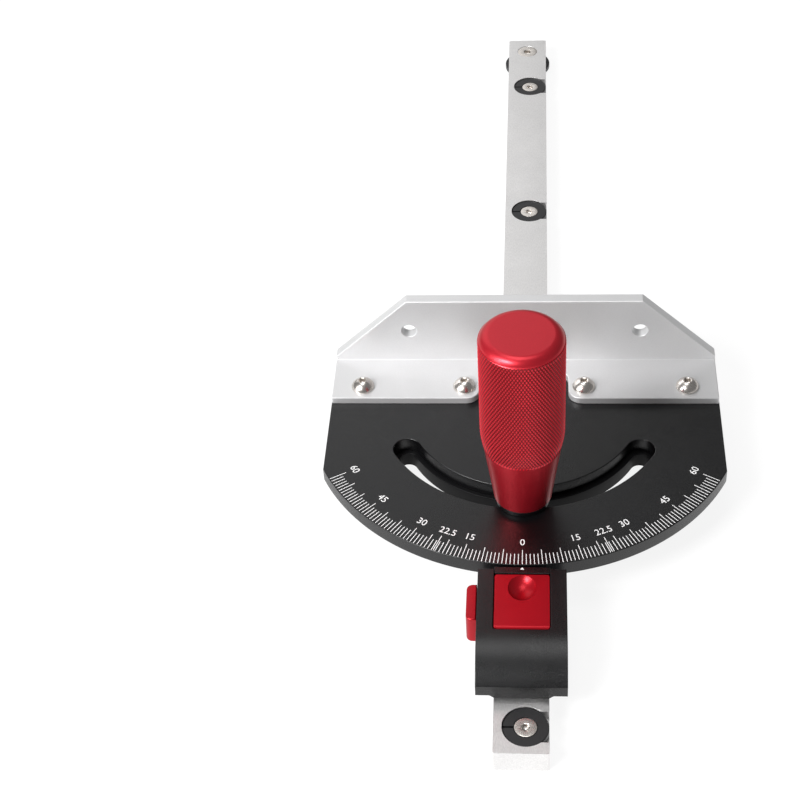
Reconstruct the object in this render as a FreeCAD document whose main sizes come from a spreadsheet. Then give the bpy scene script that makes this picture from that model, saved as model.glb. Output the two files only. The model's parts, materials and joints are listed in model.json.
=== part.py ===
"""Table-saw mitre gauge: a bar with a swivelling protractor head, an angle clamp and an index stop.

Frame: X across the bar, Y along the bar towards the saw blade, Z up, millimetres.
The origin is the head's pivot axis at the level of the bar's underside.
"""

import FreeCAD
import Part
import Sketcher
import math
import os
import re

VECTOR = FreeCAD.Vector

# ---------------------------------------------------------------- driving dimensions

SIZES = {
    # bar: fills a 3/4 inch by 3/8 inch table slot
    "barWidth": 19.05,
    "barThick": 9.525,
    "barLength": 450.0,
    "barNear": -157.0,
    "barChamfer": 0.7,
    # expansion rings in the bar
    "ringRadius": 8.0,
    "ringOffset": 1.5,
    "ringThick": 3.2,
    "ringSink": 0.4,
    "ringPocketGap": 0.15,
    "ringNotch": 12.6,
    "ringSlit": 0.8,
    "ringPlayInBore": 0.3,
    # countersunk M4 screws (rings, pointer block, head base) and the M5 one at the far end
    "cskHeadRadius": 3.9,
    "cskHeadDepth": 2.0,
    "cskShankRadius": 2.0,
    "cskSocket": 1.25,
    "cskSocketDepth": 1.3,
    "ringScrewEnd": 1.2,
    "ringHoleEnd": 1.0,
    "farHeadRadius": 5.0,
    "farHeadDepth": 2.5,
    "farShankRadius": 2.5,
    "farSocket": 1.55,
    "farSocketDepth": 1.9,
    "farSink": 0.1,
    "farScrewEnd": 0.5,
    "farScrewY": 282.3,
    "slotDiscRadius": 11.4,
    "slotDiscThick": 2.5,
    "slotDiscFloor": 0.3,
    "slotDiscGap": 0.3,
    # swivelling head
    "headGap": 0.1,
    "baseTop": 16.0,
    "plateTop": 22.0,
    "plateRadius": 84.9,
    "plateHalf": 76.4,
    "plateFar": 26.4,
    "baseRadius": 75.0,
    "baseHalf": 74.4,
    "baseFar": 24.2,
    "slotRadius": 51.6,
    "slotHalfWidth": 5.4,
    "baseSlotHalfWidth": 3.5,
    "slotHalfAngle": 60.0,
    "detentRadius": 81.5,
    "detentHoleRadius": 2.2,
    "detentDepth": 2.6,
    "baseScrewOuterX": 68.0,
    "baseScrewOuterY": -16.0,
    "baseScrewInnerX": 44.0,
    "baseScrewInnerY": 16.0,
    "baseTapTop": 20.5,
    # fence bracket on the head
    "bracketHalf": 76.1,
    "flangeThick": 3.0,
    "bracketThick": 4.6,
    "bracketNear": -0.4,
    "bracketFar": 27.2,
    "bracketTop": 55.1,
    "bracketShoulder": 26.8,
    "bracketTopHalf": 46.5,
    "notchHalf": 17.6,
    "notchDepth": 16.0,
    "notchRound": 5.0,
    "fenceHoleX": 45.8,
    "fenceHoleZ": 40.2,
    "fenceHoleRadius": 3.0,
    "bracketScrewOuter": 64.1,
    "bracketScrewInner": 23.6,
    "bracketScrewY": 6.3,
    "buttonHeadRadius": 4.5,
    "buttonHeadHeight": 3.9,
    "buttonRim": 0.7,
    "buttonSocketFloor": 1.6,
    "buttonShankRadius": 2.5,
    "buttonSocket": 1.3,
    "buttonScrewEnd": 17.5,
    # pivot
    "shoulderRadius": 5.0,
    "bushRadius": 7.0,
    "runningGap": 0.05,
    "pivotThreadRadius": 4.0,
    "pivotThreadEnd": 2.0,
    "pivotWasherRadius": 10.0,
    "pivotWasherThick": 1.0,
    "pivotHeadRadius": 8.0,
    "pivotHeadHeight": 4.0,
    "pivotSocket": 2.9,
    "pivotSocketFloor": 1.2,
    # clamp: stud, washer, handle
    "studRadius": 3.0,
    "studTop": 46.0,
    "clampWasherRadius": 10.0,
    "clampWasherTop": 24.2,
    "handleBottom": 24.3,
    "handleTop": 102.7,
    "handleBaseRadius": 10.8,
    "handleRadius": 15.3,
    "handleWaistRadius": 14.2,
    "handleWaist": 49.5,
    "handleShoulder": 56.0,
    "handleTopRound": 4.0,
    "handleBottomRound": 1.2,
    "insertRadius": 6.0,
    "insertTop": 50.0,
    "insertCap": 1.0,
    # pointer block
    "blockHalf": 15.8,
    "blockFar": -87.5,
    "blockNear": -134.4,
    "blockTop": 23.0,
    "blockWingBottom": 10.8,
    "wingSlope": 1.0,
    "blockBrow": 15.7,
    "blockCurveStart": -116.0,
    "blockCurveRadius": 26.6,
    "channelHalf": 10.0,
    "channelNear": -115.1,
    "channelFloor": 10.6,
    "pointerFar": -86.2,
    "pointerThick": 3.0,
    "pointerTop": 22.4,
    "pointerBottom": 17.0,
    "archHalf": 6.0,
    "blockScrewNear": -129.0,
    "blockScrewFar": -120.5,
    "blockTapNear": 4.0,
    "blockTapFar": 6.0,
    "edgeBreak": 0.4,
    # stop lever
    "leverPivotY": -110.0,
    "leverPivotZ": 14.5,
    "leverPinRadius": 1.5,
    "leverPinEnd": 13.4,
    "leverHalf": 9.7,
    "leverNear": -114.3,
    "leverFar": -90.3,
    "leverTop": 22.6,
    "leverBottom": 18.6,
    "leverCrease": -102.5,
    "leverRise": 0.35,
    "dimpleY": -96.4,
    "dimpleHalfX": 6.4,
    "dimpleHalfY": 7.3,
    "dimpleHalfZ": 6.5,
    "dimpleLift": 4.2,
    "armHalf": 5.0,
    "armBottom": 11.1,
    "armTop": 13.3,
    "armFar": -79.5,
    "armBodyFar": -103.5,
    "armBodyNear": -113.0,
    "indexPinY": -81.5,
    "indexPinRadius": 1.5,
    "indexPinTop": 15.7,
    "indexPinTaper": 0.45,
    "ridgeNear": -100.4,
    "ridgeFar": -98.4,
    "ridgeLevel": 14.6,
    "rampSlope": 0.225,
    "springY": -92.5,
    "springRadius": 2.4,
    "springWire": 0.5,
    "springBottom": 4.0,
    "springTop": 11.0,
    "springPlay": 0.2,
    # lock slide
    "lockNear": -101.9,
    "lockFar": -96.9,
    "lockTop": 17.6,
    "lockInnerEnd": 6.0,
    "lockStepX": -5.0,
    "lockGap": 0.05,
    "windowGap": 0.15,
    "buttonInner": -15.95,
    "buttonOuter": -19.6,
    "buttonNear": -110.3,
    "buttonFar": -94.1,
    "buttonBottom": 9.9,
    "buttonTop": 22.0,
    "buttonRound": 2.2,
    # play around screws, how far a tapped hole outruns its screw, and how far a cutter overshoots
    "screwPlay": 0.2,
    "tapSpare": 0.5,
    "past": 1.0,
    # a hexagon's corner radius for half its width across flats
    "hexCorner": 1.1547,
}

RING_POSITIONS = {"near": -146.0, "hidden": 38.0, "mid": 143.5, "far": 249.0}
DETENT_ANGLES = (-60.0, -45.0, -30.0, -22.5, -15.0, 0.0, 15.0, 22.5, 30.0, 45.0, 60.0)

document = FreeCAD.newDocument("mitre_gauge")
sheet = document.addObject("Spreadsheet::Sheet", "Sizes")
for row, (alias, value) in enumerate(SIZES.items(), 1):
    sheet.set("A" + str(row), alias)
    sheet.set("B" + str(row), str(value))
    sheet.setAlias("B" + str(row), alias)
document.recompute()

finished = []


# ---------------------------------------------------------------- helpers

def formula(text):
    """Turn sheet aliases in a plain expression into references to the sheet."""
    def reference(match):
        word = match.group()
        return "Sizes." + word if word in SIZES else word
    return re.sub(r"[A-Za-z]\w*", reference, str(text))


def number(text):
    """The present value of such an expression."""
    def lookup(match):
        return str(sheet.get(match.group()))
    plain = re.sub(r"[A-Za-z]\w*", lookup, str(text))
    total = document.getObject("Sizes").evalExpression(plain)
    return float(getattr(total, "Value", total))


def bind(item, properties):
    """Bind each property of an item to an expression of the sheet."""
    for name, text in properties.items():
        item.setExpression(name, formula(text))
    return item


def place(item, x=0, y=0, z=0):
    """Bind an item's position."""
    return bind(item, {
        "Placement.Base.x": x,
        "Placement.Base.y": y,
        "Placement.Base.z": z,
    })


def box(name, x_low, x_high, y_low, y_high, z_low, z_high):
    """A box between two corners."""
    item = document.addObject("Part::Box", name)
    bind(item, {
        "Length": f"({x_high}) - ({x_low})",
        "Width": f"({y_high}) - ({y_low})",
        "Height": f"({z_high}) - ({z_low})",
    })
    return place(item, x_low, y_low, z_low)


def rising(first, second):
    """Two levels in rising order."""
    return (first, second) if number(first) < number(second) else (second, first)


def upright(name, radius, x, y, z_low, z_high):
    """A cylinder along Z."""
    item = document.addObject("Part::Cylinder", name)
    bind(item, {"Radius": radius, "Height": f"({z_high}) - ({z_low})"})
    return place(item, x, y, z_low)


def cross_cylinder(name, radius, x_low, x_high, y, z):
    """A cylinder along X."""
    item = document.addObject("Part::Cylinder", name)
    item.Placement = FreeCAD.Placement(VECTOR(), FreeCAD.Rotation(VECTOR(0, 1, 0), 90))
    bind(item, {"Radius": radius, "Height": f"({x_high}) - ({x_low})"})
    return place(item, x_low, y, z)


def cone(name, low_radius, high_radius, x, y, z_low, z_high):
    """A cone along Z."""
    item = document.addObject("Part::Cone", name)
    bind(item, {
        "Radius1": low_radius,
        "Radius2": high_radius,
        "Height": f"({z_high}) - ({z_low})",
    })
    return place(item, x, y, z_low)


def hexagon(name, half_width, x, y, z_low, z_high):
    """A hexagonal prism along Z, for a hex socket."""
    item = document.addObject("Part::Prism", name)
    item.Polygon = 6
    bind(item, {
        "Circumradius": f"{half_width} * hexCorner",
        "Height": f"({z_high}) - ({z_low})",
    })
    return place(item, x, y, z_low)


def fuse(name, *items):
    """The union of several items."""
    item = document.addObject("Part::MultiFuse", name)
    item.Shapes = list(items)
    return item


def common(name, first, second):
    """What two items share."""
    item = document.addObject("Part::MultiCommon", name)
    item.Shapes = [first, second]
    return item


def cut(name, base, *tools):
    """The first item less the others."""
    item = document.addObject("Part::Cut", name)
    item.Base = base
    item.Tool = tools[0] if len(tools) == 1 else fuse(name + "_tools", *tools)
    return item


def finish(item, node):
    """Give a finished sub-part its node name."""
    item.Label = node
    document.recompute()
    finished.append(item)
    return item


def new_body(node):
    """An empty PartDesign body."""
    return document.addObject("PartDesign::Body", node + "_body")


def sketch_on(body, name, role, offset="0"):
    """An empty sketch on one of the body's own origin planes, raised by an offset."""
    plane = [item for item in body.Origin.OriginFeatures if item.Role == role][0]
    sketch = body.newObject("Sketcher::SketchObject", name)
    sketch.AttachmentSupport = [(plane, "")]
    sketch.MapMode = "FlatFace"
    bind(sketch, {"AttachmentOffset.Base.z": offset})
    return sketch


def fix_point(sketch, geometry, end, x, y):
    """Hold one end of a sketch curve at a bound place, measured from the sketch's origin."""
    for kind, text in (("DistanceX", x), ("DistanceY", y)):
        index = sketch.addConstraint(
            Sketcher.Constraint(kind, -1, 1, geometry, end, number(text)))
        bind(sketch, {f"Constraints[{index}]": text})


def outline(sketch, corners):
    """A closed outline; a corner is (x, y), or (x, y, radius) where a clockwise arc leaves it."""
    count = len(corners)
    for index, corner in enumerate(corners):
        start = VECTOR(number(corner[0]), number(corner[1]), 0)
        following = corners[(index + 1) % count]
        end = VECTOR(number(following[0]), number(following[1]), 0)
        if len(corner) == 2:
            sketch.addGeometry(Part.LineSegment(start, end))
        else:
            sketch.addGeometry(clockwise_arc(start, end, number(corner[2])))
    for index, corner in enumerate(corners):
        following = (index + 1) % count
        arc_here = len(corner) == 3
        arc_next = len(corners[following]) == 3
        last_end = 1 if arc_here else 2
        next_start = 2 if arc_next else 1
        sketch.addConstraint(
            Sketcher.Constraint("Coincident", index, last_end, following, next_start))
    for index, corner in enumerate(corners):
        fix_point(sketch, index, 2 if len(corner) == 3 else 1, corner[0], corner[1])
        if len(corner) == 3:
            radius = sketch.addConstraint(
                Sketcher.Constraint("Radius", index, number(corner[2])))
            bind(sketch, {f"Constraints[{radius}]": corner[2]})


def clockwise_arc(start, end, radius):
    """The short arc that runs clockwise from start to end."""
    middle = (start + end) * 0.5
    chord = end - start
    rise = math.sqrt(radius ** 2 - (chord.Length / 2) ** 2)
    centre = middle + VECTOR(chord.y, -chord.x, 0).normalize() * rise
    circle = Part.Circle(centre, VECTOR(0, 0, 1), radius)
    first = math.atan2(end.y - centre.y, end.x - centre.x)
    last = math.atan2(start.y - centre.y, start.x - centre.x)
    return Part.ArcOfCircle(circle, first, last)


def circles(sketch, places, radius):
    """Equal circles at bound places."""
    for x, y in places:
        index = sketch.addGeometry(
            Part.Circle(VECTOR(number(x), number(y), 0), VECTOR(0, 0, 1), number(radius)))
        fix_point(sketch, index, 3, x, y)
        size = sketch.addConstraint(Sketcher.Constraint("Radius", index, number(radius)))
        bind(sketch, {f"Constraints[{size}]": radius})


def pad(body, name, sketch, length, both_ways=False):
    """Raise a sketch."""
    item = body.newObject("PartDesign::Pad", name)
    item.Profile = sketch
    item.Midplane = both_ways
    bind(item, {"Length": length})
    document.recompute()
    return item


def pocket(body, name, sketch, depth, reverse=False, both_ways=False):
    """Sink a sketch into the body and make sure that it removed something."""
    before = body.Shape.Volume
    item = body.newObject("PartDesign::Pocket", name)
    item.Profile = sketch
    item.Reversed = reverse
    item.Midplane = both_ways
    bind(item, {"Length": depth})
    document.recompute()
    if body.Shape.Volume >= before:
        raise RuntimeError(name + " removed nothing")
    return item


def edges_where(shape, test):
    """Names of the straight or round edges whose middle passes a test."""
    names = []
    for index, edge in enumerate(shape.Edges, 1):
        middle = edge.valueAt((edge.FirstParameter + edge.LastParameter) / 2)
        if test(edge, middle):
            names.append("Edge" + str(index))
    return names


def dress(body, kind, name, edges, size):
    """Fillet or chamfer chosen edges of the body's last feature."""
    last = body.Tip
    item = body.newObject("PartDesign::" + kind, name)
    item.Base = (last, edges)
    bind(item, {"Radius" if kind == "Fillet" else "Size": size})
    document.recompute()
    return item


def csk_screw(node, x, y, top, end, family="csk"):
    """A countersunk hex-socket screw, driven from above or, where its end is higher, from below."""
    from_below = number(end) > number(top)
    inward = "+" if from_below else "-"
    outward = "-" if from_below else "+"
    neck = f"({top}) {inward} {family}HeadDepth"
    floor = f"({top}) {inward} {family}SocketDepth"
    radii = (f"{family}ShankRadius", f"{family}HeadRadius")
    if from_below:
        radii = radii[::-1]
    head = cone(node + "_head", *radii, x, y, *rising(neck, top))
    shank = upright(node + "_shank", f"{family}ShankRadius", x, y, *rising(neck, end))
    socket = hexagon(node + "_socket", f"{family}Socket", x, y,
                     *rising(floor, f"({top}) {outward} past"))
    return finish(cut(node + "_cut", fuse(node + "_blank", head, shank), socket), node)


# ---------------------------------------------------------------- bar

def make_bar():
    """The guide bar with its ring pockets, screw holes and the recess for the slot disc."""
    body = new_body("miter_bar")
    sketch = sketch_on(body, "bar_outline", "XY_Plane")
    outline(sketch, [
        ("-barWidth / 2", "barNear"),
        ("barWidth / 2", "barNear"),
        ("barWidth / 2", "barNear + barLength"),
        ("-barWidth / 2", "barNear + barLength"),
    ])
    pad(body, "bar_pad", sketch, "barThick")
    long_edges = edges_where(
        body.Shape, lambda edge, middle: edge.Length > 100 or abs(middle.x) < 1)
    dress(body, "Chamfer", "bar_chamfer", long_edges, "barChamfer")
    ring_places = [("ringOffset", y) for y in RING_POSITIONS.values()]

    sketch = sketch_on(body, "ring_pockets", "XY_Plane", "barThick")
    circles(sketch, ring_places, "ringRadius + ringPocketGap")
    pocket(body, "ring_pocket_cut", sketch, "ringThick + ringSink")
    for name, y in RING_POSITIONS.items():
        sketch = sketch_on(body, "ring_notch_" + name, "XY_Plane", "barThick")
        outline(sketch, [
            ("ringOffset", f"{y} - ringNotch / 2"),
            ("barWidth / 2 + past", f"{y} - ringNotch / 2"),
            ("barWidth / 2 + past", f"{y} + ringNotch / 2"),
            ("ringOffset", f"{y} + ringNotch / 2"),
        ])
        pocket(body, "ring_notch_cut_" + name, sketch, "ringThick + ringSink")

    sketch = sketch_on(body, "ring_screw_holes", "XY_Plane", "barThick")
    circles(sketch, ring_places, "cskShankRadius")
    pocket(body, "ring_screw_hole_cut", sketch, "barThick - ringHoleEnd")

    sketch = sketch_on(body, "stud_hole", "XY_Plane", "barThick")
    circles(sketch, [("0", "-slotRadius")], "studRadius")
    pocket(body, "stud_hole_cut", sketch, "barThick - pivotThreadEnd")
    sketch = sketch_on(body, "pivot_hole", "XY_Plane", "barThick")
    circles(sketch, [("0", "0")], "pivotThreadRadius")
    pocket(body, "pivot_hole_cut", sketch, "barThick - pivotThreadEnd")
    sketch = sketch_on(body, "spring_hole", "XY_Plane", "barThick")
    circles(sketch, [("0", "springY")], "springRadius + springPlay")
    pocket(body, "spring_hole_cut", sketch, "barThick - springBottom")

    sketch = sketch_on(body, "slot_disc_recess", "XY_Plane")
    circles(sketch, [("0", "farScrewY")], "slotDiscRadius + slotDiscGap")
    pocket(body, "slot_disc_recess_cut", sketch, "slotDiscFloor + slotDiscThick", reverse=True)
    return body


def finish_bar():
    """Countersinks, and the holes of the screws that come up from below."""
    seat_bottom = "barThick - farSink - farHeadDepth"
    seat_slope = "(farHeadRadius - farShankRadius) / farHeadDepth"
    seat_radius = f"farShankRadius + runningGap + {seat_slope} * (farHeadDepth + farSink + past)"
    tools = [
        cone("far_seat", "farShankRadius + runningGap", seat_radius, "0", "farScrewY",
             seat_bottom, "barThick + past"),
        upright("far_hole", "farShankRadius", "0", "farScrewY", "-past", "barThick"),
    ]
    for name in ("blockScrewNear", "blockScrewFar"):
        tools.append(cone(name + "_csk", "cskHeadRadius", "cskShankRadius", "0", name,
                          "0", "cskHeadDepth"))
        tools.append(upright(name + "_hole", "cskShankRadius", "0", name, "-past",
                             "barThick + past"))
    finish(cut("bar_drilled", make_bar(), *tools), "miter_bar")


def make_ring(name, y):
    """A split nylon ring that a countersunk screw spreads against the side of the table slot."""
    node = "expansion_ring_" + name
    bottom = "barThick - ringSink - ringThick"
    top = "barThick - ringSink"
    disc = upright(node + "_disc", "ringRadius", "ringOffset", y, bottom, top)
    bore = upright(node + "_bore", "cskShankRadius + ringPlayInBore", "ringOffset", y,
                   bottom + " - past", top + " + past")
    seat = cone(node + "_seat", "cskShankRadius + runningGap", "cskHeadRadius + runningGap",
                "ringOffset", y, top + " - cskHeadDepth", top)
    slit = box(node + "_slit", "ringOffset - ringRadius - past", "ringOffset - cskShankRadius",
               f"{y} - ringSlit / 2", f"{y} + ringSlit / 2", bottom + " - past", top + " + past")
    finish(cut(node + "_cut", disc, bore, seat, slit), node)


def make_slot_disc():
    """The disc that rides in the undercut of a T-shaped table slot."""
    node = "t_slot_disc"
    top = "slotDiscFloor + slotDiscThick"
    disc = upright(node + "_disc", "slotDiscRadius", "0", "farScrewY", "slotDiscFloor", top)
    hole = upright(node + "_hole", "farShankRadius", "0", "farScrewY", "-past", top + " + past")
    finish(cut(node + "_cut", disc, hole), node)


# ---------------------------------------------------------------- head

def arc_slot(name, half_width, z_low, z_high):
    """The solid of a curved slot, centred on -Y, with round ends."""
    wedge = []
    for part, sign in (("outer", "+"), ("inner", "-")):
        item = document.addObject("Part::Cylinder", f"{name}_{part}")
        item.Placement = FreeCAD.Placement(
            VECTOR(), FreeCAD.Rotation(VECTOR(0, 0, 1), -90 - SIZES["slotHalfAngle"]))
        bind(item, {
            "Radius": f"slotRadius {sign} {half_width}",
            "Height": f"({z_high}) - ({z_low})",
            "Angle": "2 * slotHalfAngle",
        })
        place(item, 0, 0, z_low)
        wedge.append(item)
    band = cut(name + "_band", wedge[0], wedge[1])
    ends = []
    for side in (-1, 1):
        turn = f"{side} * slotHalfAngle * 1deg"
        ends.append(upright(f"{name}_end{side + 1}", half_width, f"slotRadius * sin({turn})",
                            f"-slotRadius * cos({turn})", z_low, z_high))
    return fuse(name + "_slot", band, *ends)


def head_blank(name, radius, half, far, z_low, z_high):
    """A disc cut square at the sides and behind the pivot."""
    disc = upright(name + "_disc", radius, 0, 0, z_low, z_high)
    square = box(name + "_square", "-" + half, half, f"-{radius} - past", far, z_low, z_high)
    return common(name + "_blank", disc, square)


def bracket_screw_places():
    """The four screws of the fence bracket, as (name, x)."""
    return (
        ("left_outer", "-bracketScrewOuter"),
        ("left_inner", "-bracketScrewInner"),
        ("right_inner", "bracketScrewInner"),
        ("right_outer", "bracketScrewOuter"),
    )


def base_screw_places():
    """The four screws that join the head's base to its scale plate, as (name, x, y)."""
    return (
        ("left_near", "-baseScrewOuterX", "baseScrewOuterY"),
        ("left_far", "-baseScrewInnerX", "baseScrewInnerY"),
        ("right_far", "baseScrewInnerX", "baseScrewInnerY"),
        ("right_near", "baseScrewOuterX", "baseScrewOuterY"),
    )


def make_scale_plate():
    """The protractor plate, with index holes under its rim."""
    node = "scale_plate"
    tools = [
        arc_slot(node, "slotHalfWidth", "baseTop - past", "plateTop + past"),
        upright(node + "_bore", "bushRadius", 0, 0, "baseTop - past", "plateTop + past"),
    ]
    for index, angle in enumerate(DETENT_ANGLES):
        tools.append(upright(
            f"{node}_detent{index}", "detentHoleRadius",
            f"detentRadius * sin({angle}deg)", f"-detentRadius * cos({angle}deg)",
            "baseTop - past", "baseTop + detentDepth"))
    for name, x in bracket_screw_places():
        tools.append(upright(f"{node}_tap_{name}", "buttonShankRadius", x, "bracketScrewY",
                             "buttonScrewEnd", "plateTop + past"))
    for name, x, y in base_screw_places():
        tools.append(upright(f"{node}_hole_{name}", "cskShankRadius", x, y,
                             "baseTop - past", "baseTapTop"))
    blank = head_blank(node, "plateRadius", "plateHalf", "plateFar", "baseTop", "plateTop")
    finish(cut(node + "_cut", blank, *tools), node)


def make_head_base():
    """The lower plate of the head, which turns on the bar and is narrower than the scale."""
    node = "head_base"
    bottom = "barThick + headGap"
    tools = [
        arc_slot(node, "baseSlotHalfWidth", bottom + " - past", "baseTop + past"),
        upright(node + "_bore", "bushRadius", 0, 0, bottom + " - past", "baseTop + past"),
    ]
    for name, x, y in base_screw_places():
        tools.append(upright(f"{node}_hole_{name}", "cskShankRadius", x, y,
                             bottom + " - past", "baseTop + past"))
        tools.append(cone(f"{node}_csk_{name}", "cskHeadRadius", "cskShankRadius", x, y,
                          bottom, bottom + " + cskHeadDepth"))
    blank = head_blank(node, "baseRadius", "baseHalf", "baseFar", bottom, "baseTop")
    finish(cut(node + "_cut", blank, *tools), node)


def make_bush():
    """The bronze bush pressed through both plates of the head."""
    node = "pivot_bush"
    bottom = "barThick + headGap"
    sleeve = upright(node + "_sleeve", "bushRadius", 0, 0, bottom, "plateTop")
    bore = upright(node + "_bore", "shoulderRadius + runningGap", 0, 0,
                   bottom + " - past", "plateTop + past")
    finish(cut(node + "_cut", sleeve, bore), node)


def make_bracket():
    """The aluminium angle that carries the fence, with bevelled corners and a clear middle."""
    body = new_body("fence_bracket")
    sketch = sketch_on(body, "bracket_section", "YZ_Plane")
    outline(sketch, [
        ("bracketNear", "plateTop"),
        ("bracketFar", "plateTop"),
        ("bracketFar", "bracketTop"),
        ("bracketFar - bracketThick", "bracketTop"),
        ("bracketFar - bracketThick", "plateTop + flangeThick"),
        ("bracketNear", "plateTop + flangeThick"),
    ])
    pad(body, "bracket_pad", sketch, "2 * bracketHalf", both_ways=True)
    for side, sign in (("left", "-"), ("right", "")):
        sketch = sketch_on(body, "bevel_" + side, "XZ_Plane")
        outline(sketch, [
            (f"{sign}(bracketHalf + past)", "bracketShoulder - past"),
            (f"{sign}(bracketHalf + past)", "bracketTop + past"),
            (f"{sign}(bracketTopHalf - past)", "bracketTop + past"),
        ])
        pocket(body, "bevel_cut_" + side, sketch, "3 * bracketFar", both_ways=True)
    sketch = sketch_on(body, "fence_holes", "XZ_Plane")
    circles(sketch, [("-fenceHoleX", "fenceHoleZ"), ("fenceHoleX", "fenceHoleZ")],
            "fenceHoleRadius")
    pocket(body, "fence_hole_cut", sketch, "3 * bracketFar", both_ways=True)
    sketch = sketch_on(body, "bracket_notch", "XY_Plane", "plateTop + 2 * flangeThick")
    outline(sketch, [
        ("-notchHalf", "bracketNear - past"),
        ("notchHalf", "bracketNear - past"),
        ("notchHalf", "bracketNear + notchDepth"),
        ("-notchHalf", "bracketNear + notchDepth"),
    ])
    pocket(body, "bracket_notch_cut", sketch, "3 * flangeThick")
    screws = sketch_on(body, "bracket_screw_holes", "XY_Plane", "plateTop + 2 * flangeThick")
    circles(screws, [(x, "bracketScrewY") for name, x in bracket_screw_places()],
            "buttonShankRadius + screwPlay")
    pocket(body, "bracket_screw_hole_cut", screws, "3 * flangeThick")
    notch_corners = edges_where(
        body.Shape,
        lambda edge, middle: abs(abs(middle.x) - SIZES["notchHalf"]) < 0.1
        and abs(edge.Length - SIZES["flangeThick"]) < 0.1)
    dress(body, "Fillet", "notch_round", notch_corners, "notchRound")
    finish(body, "fence_bracket")


def make_bracket_screw(name, x):
    """A button-head screw that holds the bracket on the scale plate."""
    node = "bracket_screw_" + name
    bottom = "plateTop + flangeThick"
    top = "plateTop + flangeThick + buttonHeadHeight"
    rise = "(buttonHeadHeight - buttonRim)"
    sphere_radius = f"(buttonHeadRadius ^ 2 + {rise} ^ 2) / (2 * {rise})"
    dome = document.addObject("Part::Sphere", node + "_dome")
    bind(dome, {"Radius": sphere_radius})
    place(dome, x, "bracketScrewY", f"{top} - {sphere_radius}")
    puck = upright(node + "_puck", "buttonHeadRadius", x, "bracketScrewY", bottom, top)
    head = common(node + "_head", dome, puck)
    shank = upright(node + "_shank", "buttonShankRadius", x, "bracketScrewY",
                    "buttonScrewEnd", bottom)
    socket = hexagon(node + "_socket", "buttonSocket", x, "bracketScrewY",
                     bottom + " + buttonSocketFloor", top + " + past")
    finish(cut(node + "_cut", fuse(node + "_blank", head, shank), socket), node)


# ---------------------------------------------------------------- pivot and clamp

def make_pivot():
    """The shoulder bolt that the head turns on, and its washer."""
    washer_bottom = "plateTop + headGap"
    washer_top = "plateTop + headGap + pivotWasherThick"
    ring = upright("pivot_washer_ring", "pivotWasherRadius", 0, 0, washer_bottom, washer_top)
    hole = upright("pivot_washer_hole", "shoulderRadius", 0, 0, washer_bottom + " - past",
                   washer_top + " + past")
    finish(cut("pivot_washer_cut", ring, hole), "pivot_washer")
    shoulder = upright("pivot_shoulder", "shoulderRadius", 0, 0, "barThick", washer_top)
    thread = upright("pivot_thread", "pivotThreadRadius", 0, 0, "pivotThreadEnd", "barThick")
    head = upright("pivot_head", "pivotHeadRadius", 0, 0, washer_top,
                   washer_top + " + pivotHeadHeight")
    socket = hexagon("pivot_socket", "pivotSocket", 0, 0, washer_top + " + pivotSocketFloor",
                     washer_top + " + pivotHeadHeight + past")
    bolt = cut("pivot_cut", fuse("pivot_blank", shoulder, thread, head), socket)
    finish(bolt, "pivot_bolt")


def make_clamp():
    """The stud screwed into the bar and the washer that the handle presses on the plate."""
    stud = upright("clamp_stud_rod", "studRadius", 0, "-slotRadius", "pivotThreadEnd", "studTop")
    finish(stud, "clamp_stud")
    disc = upright("clamp_washer_disc", "clampWasherRadius", 0, "-slotRadius",
                   "plateTop + runningGap", "clampWasherTop")
    hole = upright("clamp_washer_hole", "studRadius + runningGap", 0, "-slotRadius",
                   "plateTop - past", "clampWasherTop + past")
    finish(cut("clamp_washer_cut", disc, hole), "clamp_washer")


def make_handle():
    """The turned grip and the threaded brass insert in its foot."""
    body = new_body("handle_grip")
    sketch = sketch_on(body, "grip_profile", "XZ_Plane")
    outline(sketch, [
        ("insertRadius", "handleBottom"),
        ("handleBaseRadius", "handleBottom"),
        ("handleWaistRadius", "handleWaist"),
        ("handleRadius", "handleShoulder"),
        ("handleRadius", "handleTop"),
        ("0", "handleTop"),
        ("0", "insertTop"),
        ("insertRadius", "insertTop"),
    ])
    turned = body.newObject("PartDesign::Revolution", "grip_turned")
    turned.Profile = sketch
    turned.ReferenceAxis = (sketch, ["V_Axis"])
    turned.Angle = 360
    document.recompute()
    top_edge = edges_where(
        body.Shape,
        lambda edge, middle: abs(middle.z - SIZES["handleTop"]) < 0.1
        and edge.BoundBox.XLength > SIZES["handleRadius"])
    dress(body, "Fillet", "grip_top_round", top_edge, "handleTopRound")
    bottom_edge = edges_where(
        body.Shape,
        lambda edge, middle: abs(middle.z - SIZES["handleBottom"]) < 0.1
        and edge.BoundBox.XLength > 3 * SIZES["insertRadius"])
    dress(body, "Fillet", "grip_bottom_round", bottom_edge, "handleBottomRound")
    moved = document.addObject("Part::Compound", "grip_in_place")
    moved.Links = [body]
    place(moved, 0, "-slotRadius", 0)
    finish(moved, "handle_grip")
    sleeve = upright("insert_sleeve", "insertRadius", 0, "-slotRadius", "handleBottom", "insertTop")
    bore = upright("insert_bore", "studRadius + runningGap", 0, "-slotRadius",
                   "handleBottom - past", "insertTop - insertCap")
    finish(cut("insert_cut", sleeve, bore), "handle_insert")


# ---------------------------------------------------------------- pointer block

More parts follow.
